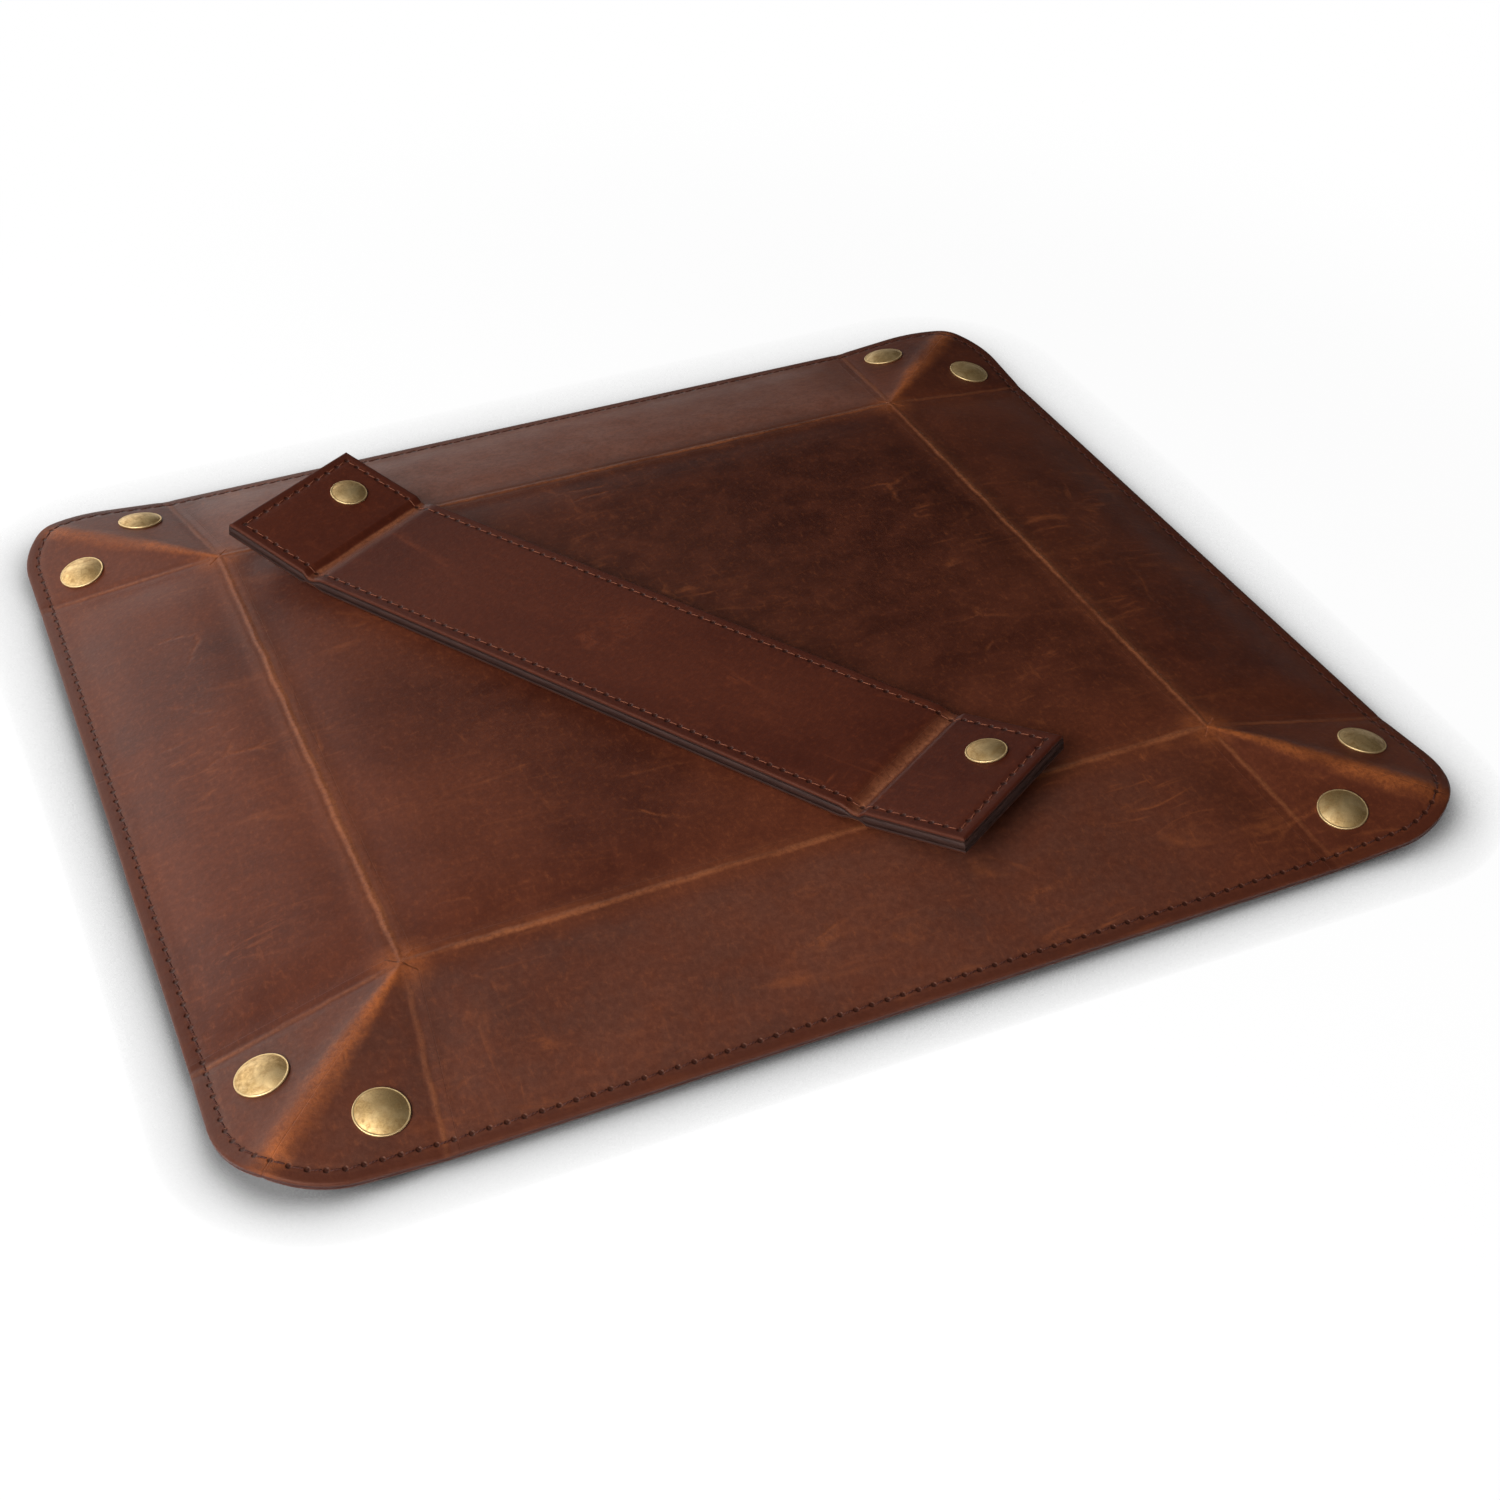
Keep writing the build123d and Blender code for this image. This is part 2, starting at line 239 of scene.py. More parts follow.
def ripple(spots):
    """Slow unevenness of the hide, between -1 and 1."""
    x, y = spots[..., 0], spots[..., 1]
    waves = (
        (0.061, 0.043, 0.4, 1.0), (-0.048, 0.083, 2.1, 0.8), (0.119, -0.037, 4.0, 0.6),
        (0.034, 0.131, 5.2, 0.6), (-0.151, -0.096, 1.3, 0.4), (0.178, 0.141, 3.3, 0.3),
    )
    total = sum(w * np.sin(a * x + b * y + phase) for a, b, phase, w in waves)
    return total / sum(w for _, _, _, w in waves)


def field_share(spots):
    """1 over the boards and 0 along every crease and edge."""
    run, past = np.abs(spots[..., 0]) - half_length, np.abs(spots[..., 1]) - half_depth
    edge = edge_distance(spots)

    def rise(distance, start):
        return smooth((distance - start) / field_run)

    base = rise(-run, field_start) * rise(-past, field_start)
    right = rise(run, field_start) * rise(run * sin_splay - past * cos_splay, ear_field_start)
    back = rise(past, field_start) * rise(past * sin_splay - run * cos_splay, ear_field_start)
    return np.maximum(base, np.maximum(right, back) * rise(edge, edge_field_start))


def round_edge(edge):
    """How far a layer's face drops beside its edge."""
    inside = np.clip(edge_round - edge, 0, edge_round)
    return edge_round - np.sqrt(edge_round ** 2 - inside ** 2)


def seam_drop(edge, inset):
    return seam_dip * np.exp(-(((edge - inset) / seam_reach) ** 2))


def tray_heights(spots, face):
    """Heights of a layer's outer and inner face from the middle surface."""
    base, corner, ridge = crease_distances(spots)
    edge = edge_distance(spots)
    valley = np.maximum(
        valley_depth * (1 - smooth(base / bend_reach)),
        corner_valley_depth * (1 - smooth(corner / bend_reach)),
    )
    pinch = np.maximum(
        pinch_height * np.exp(-((base / pinch_reach) ** 2)),
        corner_pinch_height * np.exp(-((corner / pinch_reach) ** 2)),
    )
    past_corner = np.minimum(np.abs(spots[..., 0]) - half_length, np.abs(spots[..., 1]) - half_depth)
    fold = ridge_fold * np.exp(-((ridge / ridge_fold_reach) ** 2)) * smooth(past_corner / 12.0) * smooth(edge / 9.0)
    outer = leather - valley + pinch + face * fold - seam_drop(edge, seam_inset) - round_edge(edge)
    # the lower layer is skived along the ridge, where a corner's two ears fold
    # back to back, and the layers meet a little higher there
    sink = ridge_sink(spots)
    lift = sink + skive_edge * (1 - smooth(ridge / ridge_reach))
    if face > 0:
        field = field_share(spots)
        outer = outer + board * field + 0.16 * ripple(spots) * smooth(edge / 12.0) * field
        inner = board * field + lift
    else:
        calm = smooth(np.minimum(np.minimum(base, corner), edge) / 12.0)
        outer = outer + 0.10 * ripple(spots + 90.0) * calm
        rim_keep = rim_share * leather * (1 - smooth(edge / rim_reach))
        outer = np.minimum(outer, skive_slope * ridge - sink - skive_edge / 2 + rim_keep)
        inner = -lift
    return outer, inner


def set_vectors(mesh, name, values):
    layer = mesh.attributes.new(name, "FLOAT_VECTOR", "POINT")
    layer.data.foreach_set("vector", np.asarray(values, np.float32).ravel())


def new_piece(name, points, faces, materials, material_of=None, vectors=None, soft=None):
    """A mesh object from points in millimetres, smooth-shaded where soft is 1."""
    mesh = bpy.data.meshes.new(name)
    mesh.from_pydata((np.asarray(points) * MM).tolist(), [], faces)
    for material in materials:
        mesh.materials.append(material)
    if material_of is not None:
        mesh.polygons.foreach_set("material_index", material_of)
    mesh.polygons.foreach_set("use_smooth", np.ones(len(faces), bool) if soft is None else soft)
    for key, values in (vectors or {}).items():
        set_vectors(mesh, key, values)
    mesh.validate()
    mesh.update()
    piece = bpy.data.objects.new(name, mesh)
    bpy.context.scene.collection.objects.link(piece)
    return piece


def inward_step(spots, rim, distance):
    """The grid with its cut-edge points moved in from the edge."""
    moved = spots.copy()
    towards = np.zeros_like(spots)
    towards[0] += np.where(rim[0], 1, 0)[:, None] * (spots[1] - spots[0])
    towards[-1] += np.where(rim[-1], 1, 0)[:, None] * (spots[-2] - spots[-1])
    sides = np.zeros_like(spots)
    inner_rows = slice(1, -1)
    sides[inner_rows, 0] = np.where(rim[inner_rows, 0], 1, 0)[:, None] * (spots[inner_rows, 1] - spots[inner_rows, 0])
    sides[inner_rows, -1] = np.where(rim[inner_rows, -1], 1, 0)[:, None] * (spots[inner_rows, -2] - spots[inner_rows, -1])
    towards += sides
    size = np.linalg.norm(towards, axis=-1, keepdims=True)
    return moved + np.where(size > 0, towards / np.maximum(size, 1e-9), 0) * distance


def layer_piece(name, spots, face, surface, heights, rim, seam, materials, facing=1, solid=False):
    """One leather layer over a grid of pattern points: an outer face, an inner
    face and the walls between them. rim tells which border points lie on the cut
    edge, and seam gives each point's place along the stitches and its distance
    from the seam. facing is -1 where the grid runs the other way round. A solid
    one is a core, whose edge bulges; a layer's edge leaves a fine line beside
    the next layer's."""
    rows, cols = spots.shape[:2]
    outer, inner = heights(spots, face)
    place, normal = with_normals(surface, spots)
    top = place + normal * (face * outer)[..., None]
    shift = 0.0 if solid else layer_line
    under_place, under_normal = with_normals(surface, inward_step(spots, rim, shift))
    low = under_place + under_normal * (face * inner)[..., None]
    if solid:
        middle_place = with_normals(surface, inward_step(spots, rim, -core_bulge))[0]
        middle = middle_place
    else:
        line = np.minimum(layer_line, (outer - inner) / 2)
        middle = place + normal * (face * (inner + line))[..., None]

    count = rows * cols
    index = np.arange(count).reshape(rows, cols)
    quads = np.stack([index[:-1, :-1], index[:-1, 1:], index[1:, 1:], index[1:, :-1]], -1).reshape(-1, 4)
    if face * facing < 0:
        quads = quads[:, ::-1]
    faces = quads.tolist() + (quads[:, ::-1] + count).tolist()
    kinds = [1 if solid else 0] * (2 * len(quads))
    soft = [True] * (2 * len(quads))

    loop = np.concatenate([index[0, :-1], index[:-1, -1], index[-1, :0:-1], index[:0:-1, 0]])
    points = np.concatenate([top.reshape(-1, 3), low.reshape(-1, 3), middle.reshape(-1, 3)[loop]])
    start = 2 * count
    on_rim = rim.ravel()[loop]
    size = len(loop)
    for i in range(size):
        j = (i + 1) % size
        a, b = int(loop[i]), int(loop[j])
        kind = 1 if solid or (on_rim[i] and on_rim[j]) else 0
        for quad in ([b, a, start + i, start + j], [start + j, start + i, a + count, b + count]):
            faces.append(quad[::-1] if face * facing < 0 else quad)
            kinds.append(kind)
            soft.append(bool(on_rim[i] and on_rim[j]))

    pattern = np.column_stack([spots.reshape(-1, 2) * MM, np.zeros(count)])
    stitches = np.column_stack([seam.reshape(-1, 2) * MM, np.full(count, float(face))])
    vectors = {
        "pattern": np.concatenate([pattern, pattern, pattern[loop]]),
        "seam": np.concatenate([stitches, stitches, stitches[loop]]),
    }
    return new_piece(name, points, faces, materials, kinds, vectors, soft)


# Materials
def colour(red, green, blue):
    """A colour given as it shows on screen, from 0 to 255."""
    def linear(c):
        c = c / 255
        return c / 12.92 if c <= 0.04045 else ((c + 0.055) / 1.055) ** 2.4
    return (linear(red), linear(green), linear(blue), 1.0)


class Nodes:
    """Short names for building a node tree."""

    def __init__(self, name):
        self.material = bpy.data.materials.new(name)
        self.material.use_nodes = True
        self.tree = self.material.node_tree
        self.shader = self.tree.nodes["Principled BSDF"]

    def new(self, kind, inputs=None, **settings):
        node = self.tree.nodes.new(kind)
        for key, value in settings.items():
            setattr(node, key, value)
        for key, value in (inputs or {}).items():
            self.put(node.inputs[key], value)
        return node

    def put(self, socket, value):
        if isinstance(value, bpy.types.NodeSocket):
            self.tree.links.new(value, socket)
        else:
            socket.default_value = value

    def math(self, operation, first, second=0.0, third=0.0, clamp=False):
        node = self.new("ShaderNodeMath", operation=operation, use_clamp=clamp)
        self.put(node.inputs[0], first)
        self.put(node.inputs[1], second)
        self.put(node.inputs[2], third)
        return node.outputs[0]

    def noise(self, where, scale, detail=3.0, roughness=0.55, distortion=0.0):
        node = self.new("ShaderNodeTexNoise", {
            "Vector": where, "Scale": scale, "Detail": detail,
            "Roughness": roughness, "Distortion": distortion,
        })
        return node.outputs["Fac"]

    def stretch(self, where, scale, turn=0.0, shift=(0.0, 0.0, 0.0)):
        node = self.new("ShaderNodeMapping", {
            "Vector": where, "Scale": scale, "Rotation": (0.0, 0.0, radians(turn)), "Location": shift,
        })
        return node.outputs[0]

    def span(self, value, low, high, start=0.0, end=1.0):
        node = self.new("ShaderNodeMapRange", interpolation_type="SMOOTHSTEP")
        for key, item in (("Value", value), ("From Min", low), ("From Max", high), ("To Min", start), ("To Max", end)):
            self.put(node.inputs[key], item)
        return node.outputs[0]

    def mix(self, share, first, second):
        node = self.new("ShaderNodeMix", data_type="RGBA")
        self.put(node.inputs[0], share)
        self.put(node.inputs[6], first)
        self.put(node.inputs[7], second)
        return node.outputs[2]

    def bump(self, height, distance, strength=1.0, below=None):
        node = self.new("ShaderNodeBump", {"Height": height, "Distance": distance, "Strength": strength})
        if below is not None:
            self.put(node.inputs["Normal"], below)
        return node.outputs[0]

    def finish(self, base, roughness, normal=None, **constants):
        self.put(self.shader.inputs["Base Color"], base)
        self.put(self.shader.inputs["Roughness"], roughness)
        if normal is not None:
            self.put(self.shader.inputs["Normal"], normal)
        for key, value in constants.items():
            self.shader.inputs[key.replace("_", " ")].default_value = value
        return self.material


def leather_material(name, dark, brown, streak, worn, pale, shift, creases, rolled, strength=1.0, tones_and_sheen=None):
    """Waxed pull-up leather: cloudy browns, lighter where it was bent or rubbed.
    creases makes the worn share, the share of it that is pale and the pressed-in
    depth from the pattern's coordinates, and rolled is how much lighter the hide is
    outside the seam. A tones function may change the base colour over the pattern, painted sheen too."""
    n = Nodes(name)
    spot = n.new("ShaderNodeAttribute", attribute_name="pattern").outputs["Vector"]
    seam = n.new("ShaderNodeAttribute", attribute_name="seam").outputs["Vector"]
    moved = n.stretch(spot, (1.0, 1.0, 1.0), 0.0, shift)

    cloud = n.noise(moved, 11.0, 4.0, 0.62, 0.6)
    base = n.mix(n.span(cloud, 0.34, 0.66), dark, brown)
    # broad tones over the pattern, painted sheen among them
    if tones_and_sheen is not None:
        base = tones_and_sheen(n, spot, cloud, base)
    mottle = n.noise(moved, 90.0, 6.0, 0.68, 0.3)
    base = n.mix(n.span(mottle, 0.34, 0.70, 0.0, 0.5), base, brown)
    flecks = n.noise(n.stretch(moved, (900.0, 330.0, 1.0), 8.0), 1.0, 3.0, 0.6)
    base = n.mix(n.span(flecks, 0.52, 0.78, 0.0, 0.22), base, streak)
    pitting = n.noise(moved, 560.0, 5.0, 0.75, 0.4)
    base = n.mix(n.span(pitting, 0.36, 0.58, 0.34, 0.0), base, dark)
    base = n.mix(n.span(pitting, 0.52, 0.74, 0.0, 0.20), base, streak)

    # rubbed patches and drawn-out streaks, where the wax has moved
    patch = n.span(n.noise(moved, 15.0, 3.0, 0.5, 1.2), 0.46, 0.67)
    drawn = n.span(n.noise(n.stretch(moved, (30.0, 120.0, 1.0), 12.0), 1.0, 5.0, 0.62, 2.4), 0.53, 0.74)
    drawn_other = n.span(n.noise(n.stretch(moved, (125.0, 36.0, 1.0), -28.0), 1.0, 5.0, 0.62, 2.4), 0.57, 0.78)
    rubbed = n.math("MULTIPLY", patch, n.math("MAXIMUM", drawn, drawn_other))
    scuff = n.span(n.noise(n.stretch(moved, (20.0, 70.0, 1.0), 18.0, (0.4, 0.9, 0.0)), 1.0, 3.0, 0.5, 0.8), 0.63, 0.80)
    scuff = n.math("MULTIPLY", scuff, n.span(n.noise(moved, 420.0, 4.0, 0.7), 0.32, 0.62, 0.25, 1.0))
    rubbed = n.math("MAXIMUM", rubbed, scuff)
    base = n.mix(n.math("MULTIPLY", rubbed, 0.52), base, streak)

    wander = n.new("ShaderNodeTexNoise", {"Vector": moved, "Scale": 14.0, "Detail": 4.0, "Roughness": 0.6})
    drift = n.new("ShaderNodeVectorMath", {"Scale": 0.06}, operation="SCALE")
    n.put(drift.inputs[0], wander.outputs["Color"])
    line_place = n.new("ShaderNodeVectorMath", operation="ADD")
    n.put(line_place.inputs[0], n.stretch(moved, (1.0, 2.6, 1.0), 20.0))
    n.put(line_place.inputs[1], drift.outputs[0])
    cells = n.new("ShaderNodeTexVoronoi", {"Scale": 16.0}, feature="DISTANCE_TO_EDGE")
    n.put(cells.inputs["Vector"], line_place.outputs[0])
    line = n.span(cells.outputs["Distance"], 0.0, 0.03, 1.0, 0.0)
    line_patch = n.span(n.noise(moved, 30.0, 3.0, 0.6), 0.56, 0.70)
    line_detail = n.span(n.noise(moved, 500.0, 3.0, 0.7), 0.35, 0.6, 0.2, 1.0)
    marks = n.math("MULTIPLY", n.math("MULTIPLY", line, line_patch), line_detail)
    base = n.mix(n.math("MULTIPLY", marks, 0.36), base, streak)

    wear, pale_share, dent = creases(n, spot)
    broken = n.span(n.noise(moved, 760.0, 5.0, 0.74, 0.5), 0.34, 0.60, 0.45, 1.0)
    worn_share = n.math("MULTIPLY", wear, broken, clamp=True)
    base = n.mix(worn_share, base, n.mix(pale_share, worn, pale))

    # pricked holes, painted near-black for the shade inside them, a darker band along the seam line, and the hide
    # drawn down at each stitch
    parts = n.new("ShaderNodeSeparateXYZ", {"Vector": seam})
    along = n.math("DIVIDE", parts.outputs[0], stitch_pitch * MM)
    in_stitch = n.math("ABSOLUTE", n.math("SUBTRACT", n.math("FRACT", along), 0.5))
    from_hole = n.math("MULTIPLY", n.math("SUBTRACT", 0.5, in_stitch), stitch_pitch)
    off_line = n.math("MULTIPLY", parts.outputs[1], 1 / MM)
    hole_distance = n.math("SQRT", n.math("ADD", n.math("POWER", from_hole, 2.0), n.math("POWER", off_line, 2.0)))
    hole = n.span(hole_distance, 0.35, 0.8, 1.0, 0.0)
    # painted shade: near-black inside each stitch hole
    base = n.mix(n.math("MULTIPLY", hole, 0.9), base, colour(28, 12, 9))
    groove = n.span(n.math("ABSOLUTE", off_line), 0.1, 1.2, 1.0, 0.0)
    base = n.mix(n.math("MULTIPLY", groove, 0.4), base, dark)
    roll = n.span(off_line, -1.9, -0.9, rolled, 0.0)
    base = n.mix(roll, base, streak)
    # painted shade: the rim beyond the seam darker towards the cut edge, where it turns from the light
    base = n.mix(n.span(off_line, -1.6, -0.4, 0.6, 0.0), base, dark)

    grain = n.new("ShaderNodeTexVoronoi", {"Vector": moved, "Scale": 950.0, "Randomness": 1.0}, feature="F1").outputs["Distance"]
    pores = n.noise(moved, 2600.0, 3.0, 0.6)
    wrinkle = n.noise(n.stretch(moved, (1.0, 1.6, 1.0), 30.0), 260.0, 6.0, 0.66, 0.6)
    fine = n.math("ADD", n.math("MULTIPLY", grain, 0.45), n.math("MULTIPLY", pores, 0.35))
    rough_wear = n.math("MULTIPLY", n.noise(moved, 900.0, 4.0, 0.7, 0.6), worn_share)
    height = n.math("ADD", fine, n.math("MULTIPLY", wrinkle, 1.1))
    height = n.math("ADD", height, n.math("MULTIPLY", rough_wear, 3.4))
    height = n.math("SUBTRACT", height, n.math("MULTIPLY", marks, 0.9))
    normal = n.bump(height, 0.00009, 0.7 * strength)
    pressed = n.math("ADD", n.math("MULTIPLY", hole, 1.0), dent)
    normal = n.bump(n.math("MULTIPLY", pressed, -1.0), 0.00035, 0.8, normal)

    rough = n.math("ADD", n.span(cloud, 0.3, 0.7, 0.43, 0.52), n.math("MULTIPLY", mottle, 0.10))
    rough = n.math("ADD", rough, n.math("MULTIPLY", worn_share, 0.10))
    return n.finish(base, rough, normal, Specular_IOR_Level=0.29, Specular_Tint=(1.0, 0.62, 0.46, 1.0))


def tray_tones_and_sheen(n, spot, cloud, base):
    """A darker place right of the middle, painted sheen over the back wall and a greyer patch towards the left of the
    front wall.
    """
    place = n.stretch(spot, (9.0, 11.0, 1.0), 0.0, (-0.36, -0.36, 0.0))
    away = n.new("ShaderNodeVectorMath", {0: place}, operation="LENGTH").outputs["Value"]
    away = n.math("ADD", away, n.math("MULTIPLY", n.math("SUBTRACT", cloud, 0.5), 0.8))
    # darker towards a place right of the middle
    base = n.mix(n.span(away, 0.3, 1.25, 0.84, 0.0), base, colour(38, 9, 3))
    parts = n.new("ShaderNodeSeparateXYZ", {"Vector": spot})
    # painted sheen: a pale pinkish haze laid over the back wall
    painted_sheen = n.span(parts.outputs[1], half_depth * MM, (half_depth + 8.0) * MM, 0.0, 0.42)
    painted_sheen = n.math("MULTIPLY", painted_sheen, n.span(n.math("ABSOLUTE", parts.outputs[0]), 0.085, 0.115, 1.0, 0.0))
    base = n.mix(painted_sheen, base, colour(136, 96, 82))
    # greyer towards the left of the front wall
    front_grey = n.span(parts.outputs[1], -(half_depth + 8.0) * MM, -half_depth * MM, 0.26, 0.0)
    front_grey = n.math("MULTIPLY", front_grey, n.span(parts.outputs[0], 0.05, 0.12, 1.0, 0.0))
    return n.mix(front_grey, base, colour(92, 66, 56))


def tray_creases(n, spot):
    """Worn share and pressed-in depth along the tray's creases and ridges."""
    wobble = n.noise(spot, 95.0, 2.0)
    shift = n.math("MULTIPLY", n.math("SUBTRACT", wobble, 0.5), 0.0016)
    parts = n.new("ShaderNodeSeparateXYZ", {"Vector": spot})
    run = n.math("SUBTRACT", n.math("ABSOLUTE", parts.outputs[0]), half_length * MM)
    past = n.math("SUBTRACT", n.math("ABSOLUTE", parts.outputs[1]), half_depth * MM)
    run = n.math("ADD", run, shift)
    past = n.math("SUBTRACT", past, shift)

    def length(first, second):
        return n.math("SQRT", n.math("ADD", n.math("MULTIPLY", first, first), n.math("MULTIPLY", second, second)))

    def positive(value):
        return n.math("MAXIMUM", value, 0.0)

    base = n.math("MINIMUM", length(run, positive(past)), length(past, positive(run)))

    def ray(first, second, sine, cosine):
        """Distance to a line from the corner, along and across it."""
        across = n.math("SUBTRACT", n.math("MULTIPLY", second, cosine), n.math("MULTIPLY", first, sine))
        along = n.math("ADD", n.math("MULTIPLY", first, cosine), n.math("MULTIPLY", second, sine))
        behind = n.math("MAXIMUM", n.math("MULTIPLY", along, -1.0), 0.0)
        return length(across, behind)

    corner = n.math("MINIMUM", ray(run, past, sin_splay, cos_splay), ray(past, run, sin_splay, cos_splay))
    half = sqrt(0.5)
    ridge = ray(run, past, half, half)

    uneven = n.span(n.noise(spot, 34.0, 4.0, 0.6), 0.32, 0.62, 0.35, 1.0)
    base_wear = n.math("MULTIPLY", n.span(base, 0.0002, 0.0016, 0.68, 0.0), uneven)
    halo = n.span(base, 0.0006, 0.0060, 0.10, 0.0)
    corner_wear = n.math("MULTIPLY", n.span(corner, 0.0001, 0.0011, 0.46, 0.0), uneven)

    from_corner = length(run, past)
    width = n.span(from_corner, 0.002, 0.045, 0.35, 1.0)
    fuzz = n.math("MULTIPLY", n.math("SUBTRACT", n.noise(spot, 210.0, 6.0, 0.78), 0.5), 0.0062)
    off_ridge = n.math("ADD", n.math("DIVIDE", ridge, width), fuzz)
    fading = n.span(n.noise(spot, 48.0, 3.0, 0.6), 0.34, 0.62, 0.5, 1.0)
    ridge_wear = n.math("MULTIPLY", n.span(off_ridge, -0.0004, 0.0056, 0.88, 0.0), fading)
    node = n.span(from_corner, 0.001, 0.010, 0.45, 0.0)
    line_wear = n.math("MAXIMUM", n.math("MAXIMUM", base_wear, corner_wear), halo)
    ridge_wear = n.math("MAXIMUM", ridge_wear, node)
    wear = n.math("MAXIMUM", line_wear, ridge_wear)
    pale_share = n.span(n.math("SUBTRACT", line_wear, ridge_wear), -0.25, 0.25)
    line = n.span(base, 0.0008, 0.0022, 1.0, 0.0)
    pinch = n.span(base, 0.0, 0.0008, 1.0, 0.0)
    dent = n.math("SUBTRACT", n.math("MULTIPLY", line, 0.25), n.math("MULTIPLY", pinch, 0.3))
    return wear, pale_share, dent


def strip_creases(n, spot):
    """The same for the divider's two creases, and its rubbed outer edge."""
    parts = n.new("ShaderNodeSeparateXYZ", {"Vector": spot})
    wobble = n.math("MULTIPLY", n.math("SUBTRACT", n.noise(spot, 95.0, 2.0), 0.5), 0.0012)
    off = n.math("SUBTRACT", n.math("ABSOLUTE", parts.outputs[0]), divider_length / 2 * MM)
    off = n.math("ADD", off, wobble)
    inner = n.math("POWER", n.span(off, -0.0056, 0.0004, 0.0, 1.0), 1.6)
    outer = n.span(off, 0.0000, 0.0012, 1.0, 0.0)
    fading = n.span(n.noise(spot, 70.0, 3.0, 0.6), 0.34, 0.62, 0.6, 0.86)
    wear = n.math("MULTIPLY", n.math("MULTIPLY", inner, outer), fading)
    edge = n.math("SUBTRACT", divider_width / 2 * MM, n.math("ABSOLUTE", parts.outputs[1]))
    rim = n.math("MULTIPLY", n.span(edge, 0.0002, 0.0016, 1.0, 0.0), 0.05)
    return n.math("MAXIMUM", wear, rim), 1.0, 0.0


def edge_material(name, tone, light, roughness):
    """A dressed or painted cut edge, with fine lines along it."""
    n = Nodes(name)
    place = n.new("ShaderNodeTexCoord").outputs["Object"]
    streaks = n.noise(n.stretch(place, (160.0, 160.0, 2600.0)), 1.0, 4.0, 0.6)
    blotch = n.noise(place, 120.0, 3.0)
    base = n.mix(n.span(streaks, 0.3, 0.7, 0.0, 0.75), tone, light)
    base = n.mix(n.span(blotch, 0.45, 0.75, 0.0, 0.4), base, tone)
    height = n.math("ADD", n.math("MULTIPLY", streaks, 0.6), n.math("MULTIPLY", blotch, 0.5))
    normal = n.bump(height, 0.00008, 0.7)
    return n.finish(base, n.span(blotch, 0.3, 0.7, roughness, roughness + 0.14), normal, Specular_IOR_Level=0.18)


def thread_material(name, deep, body, light):
    """Waxed thread of two twisted plies."""
    n = Nodes(name)
    place = n.new("ShaderNodeAttribute", attribute_name="twist").outputs["Vector"]
    wave = n.new("ShaderNodeTexWave", {"Vector": place, "Scale": 0.55, "Distortion": 0.6}, bands_direction="DIAGONAL")
    speck = n.noise(n.new("ShaderNodeTexCoord").outputs["Object"], 1500.0, 2.0)
    base = n.mix(wave.outputs["Fac"], deep, body)
    base = n.mix(n.span(speck, 0.4, 0.8, 0.0, 0.35), base, light)
    normal = n.bump(wave.outputs["Fac"], 0.00006, 0.8)
    return n.finish(base, n.span(speck, 0.2, 0.8, 0.66, 0.8), normal, Specular_IOR_Level=0.2)


def brass_material(name, body, deep, bright, rough_low, rough_high):
    """Antique brass: a mottled brown-black patina over metal, rubbed bright on
    what stands proud. The brightness comes from the lathed profile's own share."""
    n = Nodes(name)
    place = n.new("ShaderNodeTexCoord").outputs["Object"]
    rub = n.new("ShaderNodeAttribute", attribute_name="rub").outputs["Fac"]
    blotch = n.noise(place, 800.0, 6.0, 0.72, 0.5)
    cloud = n.noise(place, 170.0, 3.0, 0.6, 0.8)
    speck = n.noise(place, 3200.0, 3.0, 0.7)
    brushed = n.noise(n.stretch(place, (300.0, 2600.0, 300.0), 35.0), 1.0, 3.0)
    base = n.mix(n.span(blotch, 0.34, 0.66), deep, body)
    base = n.mix(n.span(cloud, 0.38, 0.68, 0.0, 0.5), base, bright)
    base = n.mix(n.span(speck, 0.55, 0.78, 0.0, 0.4), base, deep)
    base = n.mix(n.math("MULTIPLY", rub, 0.85), base, bright)
    rough = n.span(blotch, 0.3, 0.7, rough_high, rough_low)
    rough = n.math("ADD", rough, n.math("MULTIPLY", brushed, 0.06))
    height = n.math("ADD", n.math("MULTIPLY", blotch, 0.35), n.math("MULTIPLY", speck, 0.45))
    height = n.math("ADD", height, n.math("MULTIPLY", brushed, 0.3))
    normal = n.bump(height, 0.00002, 0.6)
    return n.finish(base, rough, normal, Metallic=1.0)


def board_material():
    n = Nodes("fibre_board")
    place = n.new("ShaderNodeTexCoord").outputs["Object"]
    fibre = n.noise(n.stretch(place, (300.0, 900.0, 300.0)), 1.0, 5.0, 0.7)
    speck = n.noise(place, 1200.0, 2.0)
    base = n.mix(n.span(fibre, 0.3, 0.7), colour(122, 108, 90), colour(160, 146, 124))
    base = n.mix(n.span(speck, 0.6, 0.8, 0.0, 0.5), base, colour(86, 72, 58))
    return n.finish(base, n.span(fibre, 0.3, 0.7, 0.8, 0.92), n.bump(fibre, 0.0001, 0.5))


